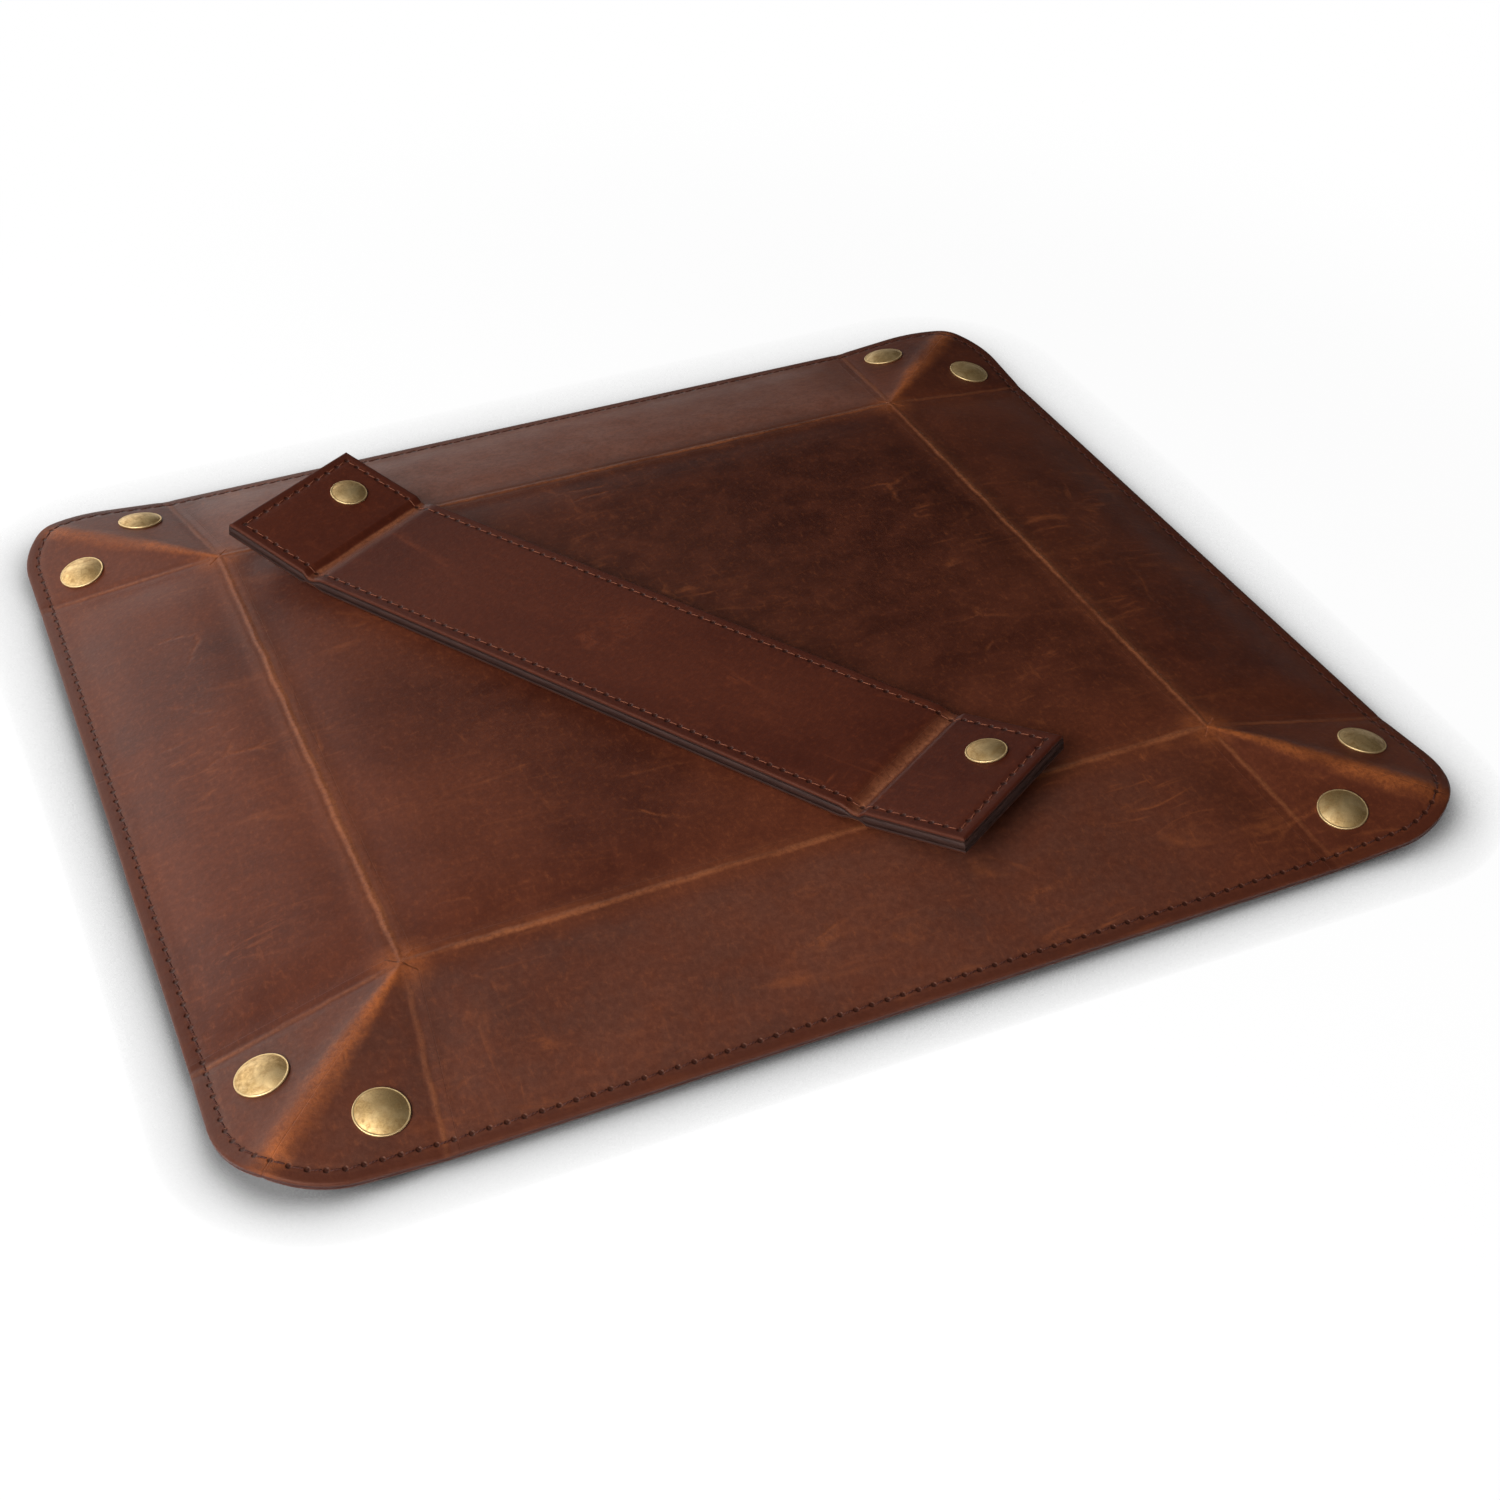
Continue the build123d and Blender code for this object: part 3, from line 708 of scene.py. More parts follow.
tray_leather = leather_material(
    "tray_leather", colour(55, 22, 13), colour(81, 38, 22), colour(126, 68, 37), colour(144, 78, 38),
    colour(132, 77, 46), (0.31, 0.17, 0.0), tray_creases, 0.05, 1.0, tray_tones_and_sheen,
)
tray_underside = leather_material(
    "tray_underside", colour(54, 26, 18), colour(76, 39, 26), colour(106, 60, 35), colour(122, 69, 38),
    colour(126, 82, 54), (1.73, 0.64, 0.0), tray_creases, 0.04, 0.8,
)
strip_leather = leather_material(
    "strip_leather", colour(52, 18, 10), colour(69, 28, 15), colour(110, 53, 29), colour(126, 73, 46),
    colour(128, 77, 51), (0.83, 1.21, 0.0), strip_creases, 0.0,
)
strip_underside = leather_material(
    "strip_underside", colour(55, 25, 17), colour(77, 37, 25), colour(106, 57, 34), colour(122, 69, 38),
    colour(126, 82, 54), (2.41, 0.92, 0.0), strip_creases, 0.0, 0.8,
)
# the tray's cut edge: its dark tones are partly its own colour and partly painted shade on the edge's thickness
tray_edge_and_shade = edge_material("dressed_edge", colour(52, 25, 20), colour(74, 40, 31), 0.6)
painted_edge = edge_material("painted_edge", colour(36, 20, 16), colour(54, 33, 27), 0.58)
thread = thread_material("waxed_thread", colour(44, 19, 13), colour(70, 34, 24), colour(86, 46, 32))
strip_thread = thread_material("strip_thread", colour(78, 38, 26), colour(112, 64, 43), colour(132, 81, 56))
cap_brass = brass_material(
    "antique_brass_cap", colour(200, 168, 114), colour(160, 128, 82), colour(230, 204, 154), 0.46, 0.60,
)
hardware_brass = brass_material(
    "antique_brass_snap", colour(150, 122, 76), colour(92, 72, 44), colour(188, 158, 104), 0.30, 0.42,
)
fibre_board = board_material()


# Leather panels of the tray
def spread(*stretches):
    """Distances from stretches of (start, end, count), without doubled ends."""
    values = []
    for start, end, count in stretches:
        values.extend(np.linspace(start, end, count, endpoint=False))
    values.append(stretches[-1][1])
    return np.array(values)


def edge_steps():
    """Distances from the cut edge, close together where it is rounded."""
    return np.array([0, 0.03, 0.1, 0.22, 0.4, 0.65, 1.0, 1.5, 2.1, 2.6, 3.0, 3.5, 4.0, 4.5, 5.2, 6.2, 7.4, 8.8])


crease_steps = np.array([
    0, 0.3, 0.6, 0.9, 1.2, 1.6, 2.0, 2.4, 2.7, 2.9, 3.0, 3.1, 3.35, 3.8, 4.6, 5.6, 6.8, 8.0,
])


seam_arc = corner_radius - seam_inset


def seam_side(straight):
    """Length of a side's seam between two corner diagonals, and its stitches."""
    length = 2 * straight + seam_arc * pi / 2
    return length, 2 * round(length / stitch_pitch / 2)


def seam_place(spots):
    """Length along a side's seam, from the side's middle, scaled to whole
    stitches, and the distance from the seam."""
    straight_x, straight_y = outer_length - corner_radius, outer_depth - corner_radius
    x, y = np.abs(spots[..., 0]), np.abs(spots[..., 1])
    turn = np.arctan2(np.maximum(y - straight_y, 0), np.maximum(x - straight_x, 1e-9))
    by_right = np.minimum(y, straight_y) + np.where(x > straight_x, seam_arc * turn, np.maximum(y - straight_y, 0))
    by_back = np.minimum(x, straight_x) + np.where(y > straight_y, seam_arc * (pi / 2 - turn), np.maximum(x - straight_x, 0))
    right_length, right_count = seam_side(straight_y)
    back_length, back_count = seam_side(straight_x)
    on_back = y - half_depth > x - half_length
    along = np.where(
        on_back,
        by_back * np.sign(spots[..., 0]) * back_count * stitch_pitch / back_length,
        by_right * np.sign(spots[..., 1]) * right_count * stitch_pitch / right_length,
    )
    return np.stack([along, edge_distance(spots) - seam_inset], -1)


walls = {
    "front": (0, -1, half_depth, half_length),
    "back": (0, 1, half_depth, half_length),
    "left": (-1, 0, half_length, half_depth),
    "right": (1, 0, half_length, half_depth),
}


def wall_spot(wall, along, out):
    """A pattern point from a place along a wall's crease and a run outward."""
    x_sign, y_sign, near, _ = walls[wall]
    if x_sign:
        return np.stack([x_sign * (near + out), along], -1)
    return np.stack([along, y_sign * (near + out)], -1)


def ear_name(wall, end_sign):
    if walls[wall][0]:
        return f"ear_{wall}_" + ("back" if end_sign > 0 else "front")
    return f"ear_{wall}_" + ("right" if end_sign > 0 else "left")


def grid_turn(spots):
    """1 where a grid of pattern points runs anticlockwise, and -1 otherwise."""
    a = spots[0, -1] - spots[0, 0]
    b = spots[-1, 0] - spots[0, 0]
    return 1 if a[0] * b[1] - a[1] * b[0] > 0 else -1


tray_pieces = {}


def add_tray_layers(body, spots, rim):
    facing = grid_turn(spots)
    for face, kind, hide in ((1, "skin", tray_leather), (-1, "lining", tray_underside)):
        piece = layer_piece(
            f"{body}_{kind}_leather", spots, face, middle_surface, tray_heights, rim,
            seam_place(spots), (hide, tray_edge_and_shade), facing,
        )
        tray_pieces[body, kind] = piece


near_steps = crease_steps[crease_steps >= bend_reach]


def base_columns(half):
    side = half - near_steps
    middle = np.linspace(side[-1], -side[-1], max(3, int(2 * side[-1] / 6.0)))
    return np.concatenate([side[:-1], middle, -side[:-1][::-1]])


xs, ys = base_columns(half_length), base_columns(half_depth)
base_grid = np.stack(np.meshgrid(xs, ys, indexing="xy"), -1)
add_tray_layers("base", base_grid, np.zeros(base_grid.shape[:2], bool))

# walls: from the base side of the base crease to the cut edge, and across to
# the near side of both corner creases
out_rows = np.concatenate([
    -crease_steps[crease_steps <= bend_reach][::-1][:-1],
    crease_steps,
    np.linspace(crease_steps[-1], wall_width - edge_steps()[-1], 8)[1:-1],
    wall_width - edge_steps()[::-1],
])
for wall, (_, _, near, end) in walls.items():
    grid = []
    for out in out_rows:
        if out < 0:
            limit = end + out
        else:
            limit = end + out * sin_splay / cos_splay - min(out, bend_reach) / cos_splay
        side = limit - (near_steps - bend_reach)
        middle = np.linspace(side[-1], -side[-1], max(3, int(2 * end / 6.0)))
        columns = np.concatenate([side[:-1], middle, -side[:-1][::-1]])
        grid.append(wall_spot(wall, columns, np.full_like(columns, out)))
    grid = np.array(grid)
    rim = np.zeros(grid.shape[:2], bool)
    rim[-1, :] = True
    add_tray_layers(f"{wall}_wall", grid, rim)


def outline_reach(origin, direction):
    """How far a line from a pattern point runs before it meets the cut edge."""
    low, high = 0.0, 2 * wall_width
    for _ in range(50):
        middle = (low + high) / 2
        if edge_distance(np.array(origin) + np.array(direction) * middle) > 0:
            low = middle
        else:
            high = middle
    return low


# ears: strips beside the corner crease, then lines fanning out from the base
# corner to the diagonal
fan_angles = np.radians(np.concatenate([
    [0.0], spread((0.8, 4.0, 4), (4.0, 29.0, 12), (29.0, 36.0, 12), (36.0, 45.0 - splay_angle, 8))
]))
for wall, (x_sign, y_sign, near, end) in walls.items():
    for end_sign in (1, -1):
        lines = []
        for share in (1.0, 0.965, 0.9, 0.8, 0.67, 0.53, 0.4, 0.3, 0.2, 0.1):
            lines.append((bend_reach * share, radians(splay_angle)))
        for fan in fan_angles:
            lines.append((0.0, radians(splay_angle) + fan))
        columns = []
        for back_off, angle in lines:
            along_dir, out_dir = sin(angle), cos(angle)
            shift = (back_off * sin_splay - back_off) / cos_splay
            origin = wall_spot(wall, np.array(end_sign * (end + shift)), np.array(back_off))
            far = wall_spot(wall, np.array(end_sign * (end + shift + along_dir)), np.array(back_off + out_dir))
            direction = far - origin
            reach = outline_reach(origin, direction)
            lean = 1.0 / max(0.6, float(edge_distance(origin + direction * (reach - 1.0))))
            runs = np.concatenate([
                spread((0, 3.0, 4), (3.0, 10.0, 6), (10.0, reach - edge_steps()[-1] * lean, 12))[:-1],
                reach - edge_steps()[::-1] * lean,
            ])
            columns.append(origin + runs[:, None] * direction)
        grid = np.array(columns).transpose(1, 0, 2)
        rim = np.zeros(grid.shape[:2], bool)
        rim[-1, :] = True
        add_tray_layers(ear_name(wall, end_sign), grid, rim)

surface_at = lambda spot: middle_surface(np.array(spot, float)[None])[0] * MM


def crease_ends(wall, end_sign, share):
    """Rest points either side of a wall's corner crease, a bend's reach away."""
    _, _, _, end = walls[wall]
    middle = 30.0
    points = []
    for across in (-bend_reach, bend_reach):
        along = end + middle * sin_splay + across * cos_splay
        out = middle * cos_splay - across * sin_splay
        points.append(surface_at(wall_spot(wall, np.array(end_sign * along), np.array(out))))
    return points


for body in ("base",):
    for kind in ("skin", "lining"):
        piece = tray_pieces[body, kind]
        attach(piece, "tray_base")
        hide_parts(f"base_{kind}")
for wall in walls:
    for kind in ("skin", "lining"):
        piece = tray_pieces[f"{wall}_wall", kind]
        start, end_point = (
            surface_at(wall_spot(wall, np.array(0.0), np.array(out))) for out in (-bend_reach, bend_reach)
        )
        start[2] = end_point[2] = base_height * MM
        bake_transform(piece)
        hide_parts(f"{wall}_wall_{kind}")
ear_ends = {}
for wall, (x_sign, _, _, _) in walls.items():
    for end_sign in (1, -1):
        body = ear_name(wall, end_sign)
        ear_ends[body] = (wall, crease_ends(wall, end_sign, 0))
        for kind in ("skin", "lining"):
            piece = tray_pieces[body, kind]
            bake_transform(piece)
            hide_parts(f"{body}_{kind}")


def fold_bead(corner_name, x_sign, y_sign):
    """The leather that rounds the outside of a corner's ridge when its ears fold.
    It lies inside the layers while the tray is flat."""
    reach = outline_reach((x_sign * half_length, y_sign * half_depth), (x_sign / sqrt(2), y_sign / sqrt(2)))
    runs = np.linspace(3.0, reach - 1.0, 24)
    corner = np.array([x_sign * half_length, y_sign * half_depth])
    spots = corner + runs[:, None] * np.array([x_sign, y_sign]) / sqrt(2)
    sink = ridge_sink(spots)
    radius = tray_heights(spots, 1)[0] - sink - bead_gap
    centre = middle_surface(spots)
    centre[:, 2] += sink
    ahead = np.gradient(centre, axis=0)
    ahead /= np.linalg.norm(ahead, axis=-1, keepdims=True)
    beside = np.array([-x_sign, y_sign, 0.0]) / sqrt(2)
    upward = np.cross(ahead, beside)
    upward *= np.sign(upward[:, 2:])
    points, pattern = [centre], [spots]
    turns = np.radians(np.linspace(0.0, bead_turn, 15))
    for turn in turns:
        points.append(centre + radius[:, None] * (upward * cos(turn) + beside * sin(turn)))
        pattern.append(spots + 0.3 * sin(turn) * beside[:2])
    count, rings = len(runs), len(points)
    faces = []
    for ring in range(rings):
        other = (ring + 1) % rings
        for i in range(count - 1):
            faces.append([ring * count + i, ring * count + i + 1, other * count + i + 1, other * count + i])
    faces.append([ring * count for ring in reversed(range(rings))])
    faces.append([ring * count + count - 1 for ring in range(rings)])
    if x_sign * y_sign < 0:
        faces = [face[::-1] for face in faces]
    spots = np.concatenate(pattern)
    vectors = {
        "pattern": np.column_stack([spots * MM, np.zeros(len(spots))]),
        "seam": np.column_stack([seam_place(spots[None])[0] * MM, np.ones(len(spots))]),
    }
    rounded = [i % (count - 1) >= 0 and 0 < i // (count - 1) < rings - 1 for i in range(len(faces) - 2)] + [False] * 2
    piece = new_piece(f"{corner_name}_fold_leather", np.concatenate(points), faces, (tray_leather,), None, vectors, rounded)
    return piece


for wall, x_sign in (("left", -1), ("right", 1)):
    for y_sign in (-1, 1):
        body = ear_name(wall, y_sign)
        piece = fold_bead(f"{wall}_" + ("back" if y_sign > 0 else "front"), x_sign, y_sign)
        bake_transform(piece)


# Threads: each stitch is a short twisted arc that dives into its two holes
def stitch_piece(name, runs, surface, heights, gauge, material):
    """All the stitches of one piece, from rows of (start, end, face) in pattern
    points."""
    rings, sides = 7, 6
    share = np.linspace(0, 1, rings)
    points, twist = [], []
    for row, (start, end, face) in enumerate(runs):
        start, end = np.array(start), np.array(end)
        along = end - start
        length = np.linalg.norm(along)
        along = along / length
        side = np.array([-along[1], along[0]])
        lean = 0.16 + 0.05 * sin(2.7 * row)
        trim = 0.55 + 0.1 * sin(1.9 * row + 1.0)
        line = start + along * (trim + share * (length - 2 * trim))[:, None]
        line = line + side * (lean * (share - 0.5) * 2)[:, None]
        place, normal = with_normals(surface, line)
        outer = heights(line, face)[0]
        arch = np.sqrt(np.clip(1 - (2 * share - 1) ** 2, 0, 1))
        lift = outer - 0.32 + 0.38 * arch
        centre = place + normal * (face * lift)[:, None]
        tangent = np.gradient(centre, axis=0)
        tangent /= np.linalg.norm(tangent, axis=-1, keepdims=True)
        across = np.cross(normal * face, tangent)
        across /= np.linalg.norm(across, axis=-1, keepdims=True)
        upward = np.cross(tangent, across)
        radius = gauge * (0.72 + 0.28 * arch)
        for i in range(sides):
            turn = 2 * pi * i / sides
            points.append(centre + (across * cos(turn) + upward * 0.85 * sin(turn)) * radius[:, None])
            twist.append(np.column_stack([share * length, np.full(rings, 0.31 * i), np.full(rings, 1.7 * row)]))
    points = np.array(points).reshape(len(runs), sides, rings, 3)
    twist = np.array(twist).reshape(-1, 3)
    faces = []
    for row in range(len(runs)):
        base = row * sides * rings
        for i in range(sides):
            j = (i + 1) % sides
            for k in range(rings - 1):
                faces.append([base + i * rings + k, base + j * rings + k, base + j * rings + k + 1, base + i * rings + k + 1])
        faces.append([base + i * rings for i in reversed(range(sides))])
        faces.append([base + i * rings + rings - 1 for i in range(sides)])
    piece = new_piece(name, points.reshape(-1, 3), faces, (material,), None, {"twist": twist})
    return piece


def seam_spot(wall, s):
    _, _, near, end = walls[wall]
    straight = end + wall_width - corner_radius
    turn = max(0.0, abs(s) - straight) / seam_arc
    along = min(abs(s), straight) + seam_arc * sin(turn)
    out = wall_width - corner_radius + seam_arc * cos(turn)
    return wall_spot(wall, np.array(along if s > 0 else -along), np.array(out)), along, out


for wall, (_, _, near, end) in walls.items():
    length, count = seam_side(end + wall_width - corner_radius)
    groups = {}
    for k in range(count):
        s_start, s_end = (k / count - 0.5) * length, ((k + 1) / count - 0.5) * length
        start, end_spot = seam_spot(wall, s_start)[0], seam_spot(wall, s_end)[0]
        _, along, out = seam_spot(wall, (s_start + s_end) / 2)
        past_crease = (along - end) * cos_splay - out * sin_splay
        body = ear_name(wall, s_start + s_end) if past_crease > -bend_reach else f"{wall}_wall"
        groups.setdefault(body, []).extend([(start, end_spot, 1), (start, end_spot, -1)])
    for body, runs in groups.items():
        piece = stitch_piece(f"{body}_stitches", runs, middle_surface, tray_heights, thread_radius, thread)
        if body == f"{wall}_wall":
            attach(piece, body)
        else:
            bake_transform(piece)


# Snap caps, turned about their own axis
def lathe_piece(name, profile, seat, normal, materials, sides=72):
    """A turned piece from (radius, height, rubbed share) rows, on a seat."""
    normal = np.array(normal) / np.linalg.norm(normal)
    first = np.cross(normal, [0.3, 0.9, 0.1])
    first /= np.linalg.norm(first)
    second = np.cross(normal, first)
    points, rub = [], []
    for radius, height, share in profile:
        for i in range(sides):
            turn = 2 * pi * i / sides
            points.append(seat + normal * height + (first * cos(turn) + second * sin(turn)) * radius)
            rub.append(share)
    faces = []
    rows = len(profile)
    for k in range(rows - 1):
        for i in range(sides):
            j = (i + 1) % sides
            faces.append([k * sides + i, k * sides + j, (k + 1) * sides + j, (k + 1) * sides + i])
    faces.append([i for i in reversed(range(sides))])
    faces.append([(rows - 1) * sides + i for i in range(sides)])
    piece = new_piece(name, np.array(points), faces, materials)
    layer = piece.data.attributes.new("rub", "FLOAT", "POINT")
    layer.data.foreach_set("value", np.array(rub, np.float32))
    return piece


def cap_profile(radius, height, foot):
    """From the post's headed end up round the rolled rim and over the dome."""
    rows = [
        (0.05, foot - 0.35, 0.3), (1.5, foot - 0.35, 0.5), (1.75, foot - 0.2, 0.6), (1.75, foot, 0.2),
        (1.4, foot, 0.0), (1.4, 0.0, 0.0), (radius - 0.4, 0.0, 0.0), (radius - 0.1, 0.03, 0.1),
    ]
    for angle in (-50, -15, 20, 50, 80, 110):
        turn = radians(angle)
        rows.append((
            radius - cap_bead + cap_bead * cos(turn), 0.34 + 0.26 * sin(turn), 0.35 + 0.65 * max(0.0, sin(turn)),
        ))
    groove, rise = radius - 2.1 * cap_bead, height - 0.54
    rows.append((groove, 0.54, 0.1))
    dome = (groove ** 2 + rise ** 2) / (2 * rise)
    for share in (0.97, 0.92, 0.85, 0.76, 0.66, 0.55, 0.43, 0.31, 0.2, 0.1, 0.01):
        reach = groove * share
        level = height - dome + sqrt(dome ** 2 - reach ** 2)
        rows.append((reach, level, 0.3 * max(0.0, 1 - 1.6 * share)))
    return rows


for body in ear_ends:
    wall, neighbour = body.split("_")[1:]
    _, _, _, end = walls[wall]
    end_sign = 1 if neighbour in ("back", "right") else -1
    spot = wall_spot(wall, np.array(end_sign * (end + snap_along)), np.array(snap_out))
    place, normal = with_normals(middle_surface, spot[None])
    web = 0.5
    cap = lathe_piece(
        f"{body}_cap_turned", cap_profile(6.2, 1.9, -(2 * leather + web)),
        place[0] + normal[0] * leather, normal[0], (cap_brass,),
    )
    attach(cap, body)
    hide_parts(f"{body}_cap")


# Divider strip
heading = radians(divider_heading)
strip_half = divider_length / 2
strip_end = strip_half + flap_length
strip_edge = divider_width / 2
core_half = divider_thickness / 2 - leather


def strip_surface(spots):
    x, t = spots[..., 0], spots[..., 1]
    flat = np.stack([x, t, np.zeros_like(x)], -1)
    local = flat
    for side, angle in ((-1, back_flap_angle), (1, front_flap_angle)):
        run = side * x - strip_half
        rise = radians(angle)
        turned = np.stack([side * (strip_half + run * cos(rise)), t, run * sin(rise)], -1)
        local = local + (turned - local) * bend_share(run)[..., None]
    level = local[..., 2]
    return np.stack([
        divider_x + local[..., 0] * cos(heading) - local[..., 1] * sin(heading),
        divider_y + local[..., 0] * sin(heading) + local[..., 1] * cos(heading),
        divider_height + level,
    ], -1)


def strip_edge_distance(spots):
    return np.minimum(strip_end - np.abs(spots[..., 0]), strip_edge - np.abs(spots[..., 1]))


def strip_heights(spots, face):
    off = np.abs(spots[..., 0]) - strip_half
    pinch = np.where(off < 0, smooth((-off - 0.5) / 4.5), smooth((off - 0.7) / 2.2))
    inner = core_half * pinch
    edge = strip_edge_distance(spots)
    calm = smooth(edge / 8.0) * smooth(np.abs(off) / 9.0)
    outer = leather + inner - seam_drop(edge, strip_seam_inset) - round_edge(edge) + 0.07 * ripple(spots * 1.6 + 300.0) * calm
    return outer, inner


def core_heights(spots, face):
    inner = np.maximum(strip_heights(spots, face)[1] - 0.01, 0.02)
    return inner, -inner


strip_seam_x, strip_seam_t = strip_end - strip_seam_inset, strip_edge - strip_seam_inset
strip_long = 2 * round(2 * strip_seam_x / stitch_pitch / 2)
strip_short = 2 * round(2 * strip_seam_t / stitch_pitch / 2)


def strip_seam(spots):
    x, t = spots[..., 0], spots[..., 1]
    on_end = strip_end - np.abs(x) < strip_edge - np.abs(t)
    long_place = np.clip(x, -strip_seam_x, strip_seam_x) * strip_long * stitch_pitch / (2 * strip_seam_x)
    short_place = np.clip(t, -strip_seam_t, strip_seam_t) * strip_short * stitch_pitch / (2 * strip_seam_t)
    return np.stack([np.where(on_end, short_place, long_place), strip_edge_distance(spots) - strip_seam_inset], -1)


across_steps = np.concatenate([
    strip_edge - edge_steps(), np.linspace(strip_edge - edge_steps()[-1], edge_steps()[-1] - strip_edge, 10)[1:-1],
    edge_steps()[::-1] - strip_edge,
])[::-1]
body_steps = np.concatenate([
    -strip_half + crease_steps[crease_steps >= bend_reach], np.linspace(-strip_half + 8, strip_half - 8, 40)[1:-1],
    strip_half - crease_steps[crease_steps >= bend_reach][::-1],
])
flap_steps = np.concatenate([
    strip_half - crease_steps[crease_steps <= bend_reach][::-1][:-1], strip_half + crease_steps,
    np.linspace(strip_half + 8, strip_end - edge_steps()[-1], 8)[1:-1], strip_end - edge_steps()[::-1],
])


def strip_grid(along):
    return np.stack(np.meshgrid(along, across_steps, indexing="ij"), -1)


strip_parts = {"divider": strip_grid(body_steps), "front_flap": strip_grid(flap_steps), "back_flap": strip_grid(-flap_steps)}
for part, grid in strip_parts.items():
    rim = np.zeros(grid.shape[:2], bool)
    rim[:, 0] = rim[:, -1] = True
    if part != "divider":
        rim[-1, :] = True
    facing = grid_turn(grid)
    side = -1 if part == "back_flap" else 1
    for face, kind, hide in ((1, "skin", strip_leather), (-1, "lining", strip_underside)):
        piece = layer_piece(
            f"{part}_{kind}_leather", grid, face, strip_surface, strip_heights, rim,
            strip_seam(grid), (hide, painted_edge), facing,
        )
        if part == "divider":
            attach(piece, "divider")
        else:
            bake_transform(piece)
        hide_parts(f"{part}_{kind}")
    piece = layer_piece(
        f"{part}_core_edge", grid, 1, strip_surface, core_heights, rim,
        strip_seam(grid), (painted_edge, painted_edge), facing, True,
    )
    if part == "divider":
        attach(piece, "divider")
    else:
        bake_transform(piece)
    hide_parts(f"{part}_core")

strip_runs = {"divider": [], "front_flap": [], "back_flap": []}
for side in (-1, 1):
    for k in range(strip_long):
        x_start, x_end = ((j / strip_long - 0.5) * 2 * strip_seam_x for j in (k, k + 1))
        middle = (x_start + x_end) / 2
        part = "divider" if abs(middle) < strip_half - bend_reach else ("front_flap" if middle > 0 else "back_flap")
        for face in (1, -1):
            strip_runs[part].append(((x_start, side * strip_seam_t), (x_end, side * strip_seam_t), face))
    for k in range(strip_short):
        t_start, t_end = ((j / strip_short - 0.5) * 2 * strip_seam_t for j in (k, k + 1))
        for face in (1, -1):
            strip_runs["front_flap" if side > 0 else "back_flap"].append(
                ((side * strip_seam_x, t_start), (side * strip_seam_x, t_end), face)
            )
for part, runs in strip_runs.items():
    piece = stitch_piece(f"{part}_stitches", runs, strip_surface, strip_heights, strip_thread_radius, strip_thread)
    side = -1 if part == "back_flap" else 1
    if part == "divider":
        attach(piece, part)
    else:
        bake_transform(piece)

for part, side in (("back_flap", -1), ("front_flap", 1)):
    place, normal = with_normals(strip_surface, np.array([[side * (strip_half + flap_snap), flap_snap_offset]]))
    cap = lathe_piece(
        f"{part}_cap_turned", cap_profile(5.2, 1.6, -(divider_thickness + 0.5)),
        place[0] + normal[0] * divider_thickness / 2, normal[0], (cap_brass,),
    )
    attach(cap, part)
    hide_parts(f"{part}_cap")


# Camera: at the photograph's angle, distance and field of view
camera_data = bpy.data.cameras.new("camera")
camera_data.lens = 52.73
camera_data.sensor_width = 36.0
camera = bpy.data.objects.new("camera", camera_data)
bpy.context.scene.collection.objects.link(camera)
turn = Matrix.Rotation(radians(0.5), 3, "Z") @ Matrix.Rotation(radians(38.4 - 90.0), 3, "X") @ Matrix.Rotation(radians(23.3), 3, "Z")
camera.matrix_world = Matrix.Translation(Vector((-173.66, -445.30, 339.56 + 11.5)) * MM) @ turn.transposed().to_4x4()
bpy.context.scene.camera = camera


# Stage: pale floor, soft lights
def stage_floor():
    """A white floor. What the camera sees of it glows, dimmed by how much of the
    low sky towards the tray is hidden, which gives the wide soft shadow."""
    mesh = bpy.data.meshes.new("floor")
    size = 3.0
    mesh.from_pydata([(-size, -size, 0), (size, -size, 0), (size, size, 0), (-size, size, 0)], [], [(0, 1, 2, 3)])
    floor = bpy.data.objects.new("floor", mesh)
    bpy.context.scene.collection.objects.link(floor)
    n = Nodes("floor_white")
    n.put(n.shader.inputs["Base Color"], (0.88, 0.88, 0.88, 1.0))
    n.put(n.shader.inputs["Roughness"], 0.9)
    n.put(n.shader.inputs["Specular IOR Level"], 0.0)
    place = n.new("ShaderNodeTexCoord").outputs["Object"]

    def vector(operation, first, second=(0.0, 0.0, 0.0), result="Vector"):
        return n.new("ShaderNodeVectorMath", {0: first, 1: second}, operation=operation).outputs[result]

    inward = vector("NORMALIZE", vector("MULTIPLY", place, (-1.0, -1.0, 0.0)))
    low_sky = vector("NORMALIZE", vector("ADD", inward, (0.0, 0.0, 0.25)))
    to_front = vector("DOT_PRODUCT", place, (-0.50, -0.87, 0.0), "Value")
    hidden = n.new("ShaderNodeAmbientOcclusion", {
        "Normal": low_sky, "Distance": n.span(to_front, -0.15, 0.15, 0.022, 0.013),
    }, samples=8)
    hidden = n.math("SUBTRACT", 1.0, hidden.outputs["AO"])
    shade = n.math("SUBTRACT", 1.0, n.math("MULTIPLY", hidden, n.span(to_front, -0.15, 0.10, 1.4, 2.05)), clamp=True)
    glow = n.new("ShaderNodeEmission", {"Color": (1.0, 1.0, 1.0, 1.0), "Strength": shade})
    away = vector("LENGTH", place, result="Value")
    path = n.new("ShaderNodeLightPath")
    blend = n.new("ShaderNodeMixShader")
    n.put(blend.inputs[0], n.math("MULTIPLY", path.outputs["Is Camera Ray"], n.span(away, 0.2, 0.42, 0.92, 1.0)))
    n.tree.links.new(n.shader.outputs[0], blend.inputs[1])
    n.tree.links.new(glow.outputs[0], blend.inputs[2])
    n.tree.links.new(blend.outputs[0], n.tree.nodes["Material Output"].inputs["Surface"])
    mesh.materials.append(n.material)


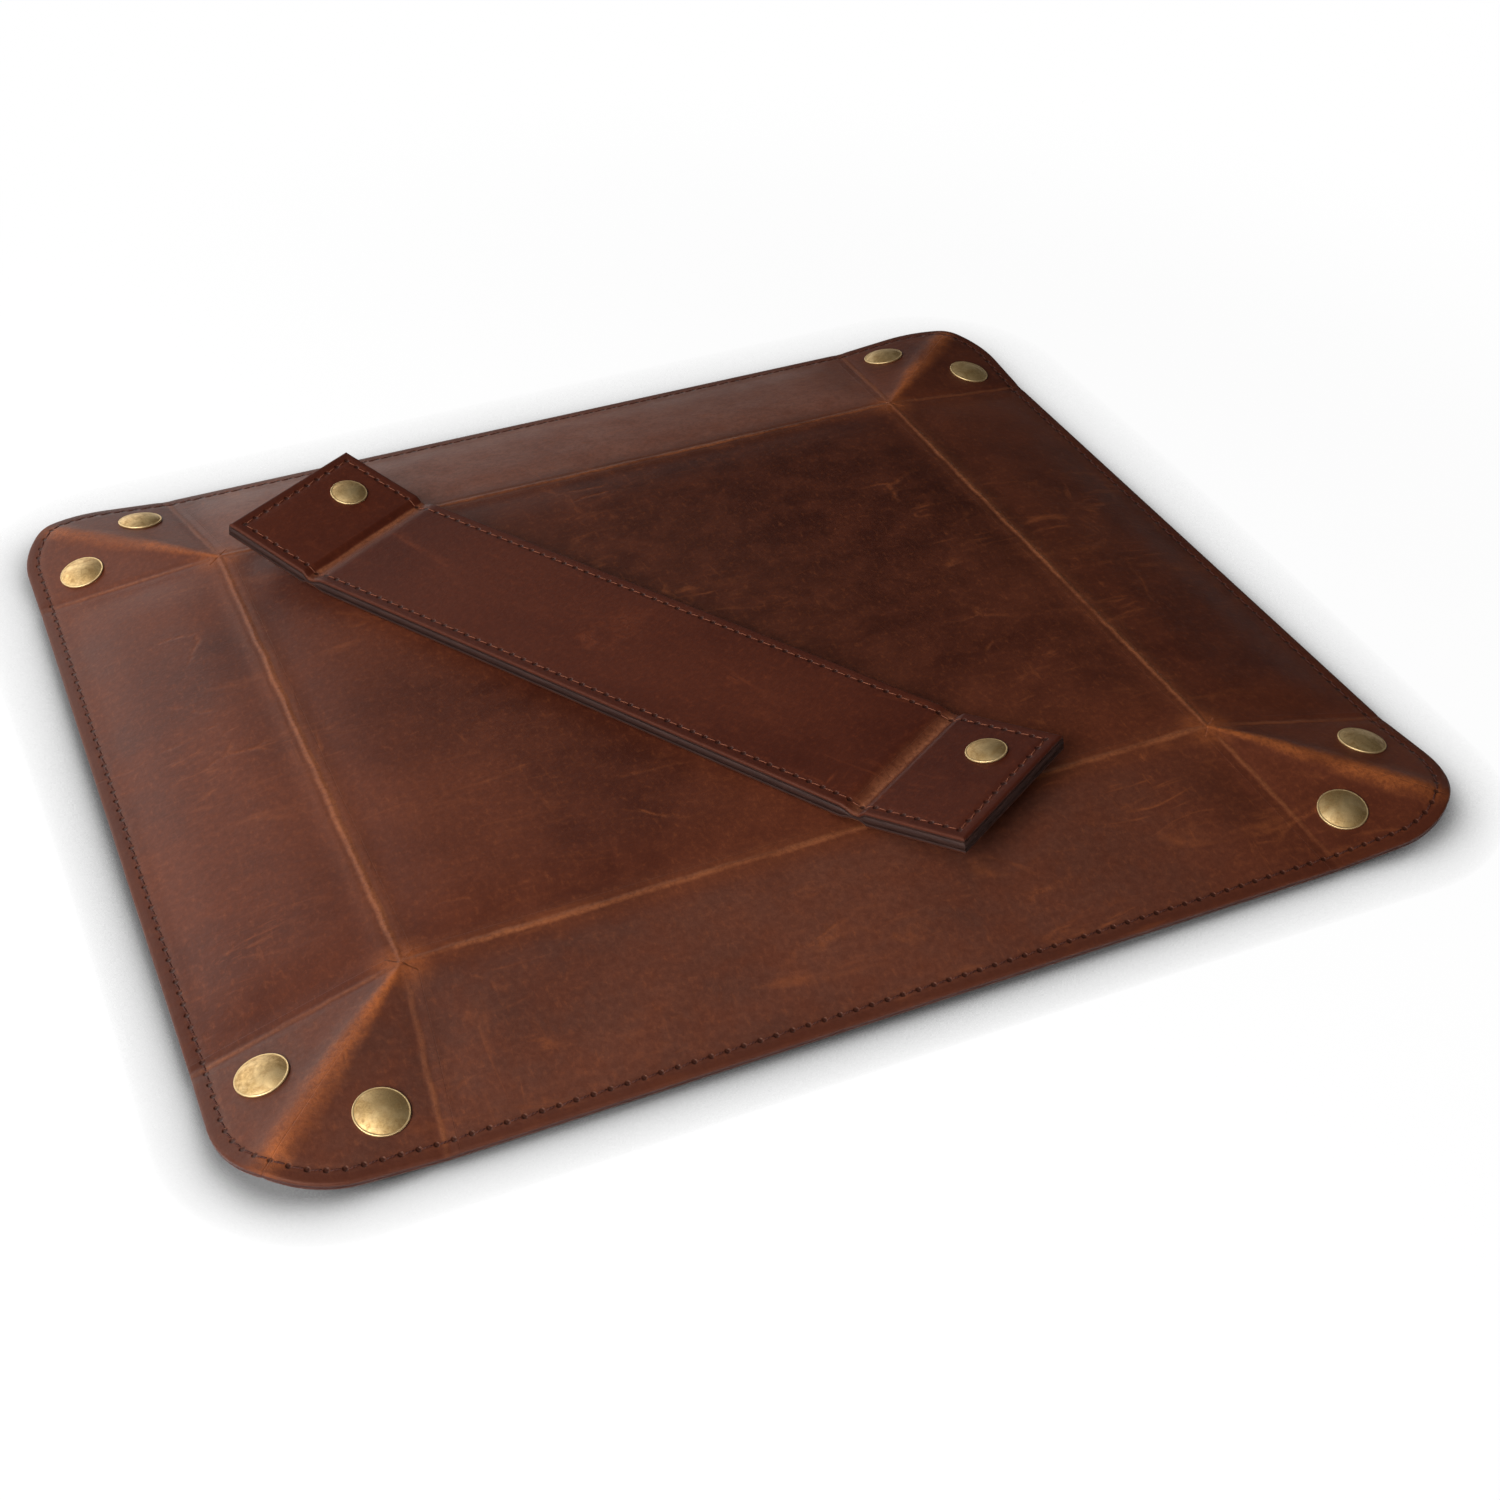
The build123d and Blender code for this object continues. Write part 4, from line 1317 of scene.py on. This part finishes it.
def add_light(name, place, target, size, power, tint=(1.0, 1.0, 1.0)):
    data = bpy.data.lights.new(name, "AREA")
    data.shape = "RECTANGLE"
    data.size, data.size_y = size
    data.energy = power
    data.color = tint
    lamp = bpy.data.objects.new(name, data)
    lamp.location = place
    lamp.visible_camera = False
    lamp.rotation_euler = (Vector(target) - Vector(place)).to_track_quat("-Z", "Y").to_euler()
    bpy.context.scene.collection.objects.link(lamp)


stage_floor()


def studio_world():
    """White to the camera; to the object, dim with a bright band low at the back."""
    world = bpy.data.worlds.new("studio")
    bpy.context.scene.world = world
    world.use_nodes = True
    tree = world.node_tree
    way = tree.nodes.new("ShaderNodeTexCoord").outputs["Generated"]
    towards = tree.nodes.new("ShaderNodeVectorMath")
    towards.operation = "DOT_PRODUCT"
    towards.inputs[1].default_value = Vector((-0.2, 0.97, 0.10)).normalized()
    tree.links.new(way, towards.inputs[0])
    reach = tree.nodes.new("ShaderNodeMapRange")
    reach.interpolation_type = "SMOOTHSTEP"
    for key, value in (("From Min", 0.86), ("From Max", 0.99), ("To Min", 0.05), ("To Max", 1.75)):
        reach.inputs[key].default_value = value
    tree.links.new(towards.outputs["Value"], reach.inputs["Value"])
    parts = tree.nodes.new("ShaderNodeSeparateXYZ")
    tree.links.new(way, parts.inputs[0])
    below = tree.nodes.new("ShaderNodeMapRange")
    for key, value in (("From Min", -0.05), ("From Max", -0.5), ("To Min", 0.0), ("To Max", 0.7)):
        below.inputs[key].default_value = value
    tree.links.new(parts.outputs[2], below.inputs["Value"])
    dome = tree.nodes.new("ShaderNodeMath")
    dome.operation = "MAXIMUM"
    tree.links.new(reach.outputs[0], dome.inputs[0])
    tree.links.new(below.outputs[0], dome.inputs[1])
    path = tree.nodes.new("ShaderNodeLightPath")
    level = tree.nodes.new("ShaderNodeMix")
    tree.links.new(path.outputs["Is Camera Ray"], level.inputs[0])
    tree.links.new(dome.outputs[0], level.inputs[2])
    level.inputs[3].default_value = 1.0
    background = tree.nodes["Background"]
    background.inputs["Color"].default_value = (1.0, 1.0, 1.0, 1.0)
    tree.links.new(level.outputs[0], background.inputs["Strength"])


studio_world()
add_light("softbox_left", (-0.65, -0.5, 0.5), (0, 0, 0), (0.5, 0.5), 11.4)
add_light("softbox_front", (-0.35, -0.75, 0.6), (0, 0, 0), (0.5, 0.5), 2.2)
add_light("softbox_over", (-0.45, -0.1, 0.9), (0, 0, 0), (0.5, 0.5), 2.9)
add_light("card_back", (-0.25, 0.42, 0.18), (-0.05, 0.1, 0), (0.4, 0.16), 0.36)
add_light("card_left", (-0.42, 0.30, 0.22), (-0.1, 0.05, 0), (0.3, 0.25), 0.58)
bpy.context.scene.view_settings.view_transform = "Standard"

# CAD nodes that keep their own shape
for node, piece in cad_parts.items():
    if piece.hide_render:
        continue
    if node.endswith("board"):
        finish = fibre_board
    elif node.endswith("core"):
        finish = painted_edge
    elif node.endswith(("cap", "socket", "stud")):
        finish = hardware_brass
    else:
        finish = strip_leather
    piece.data.materials.clear()
    piece.data.materials.append(finish)
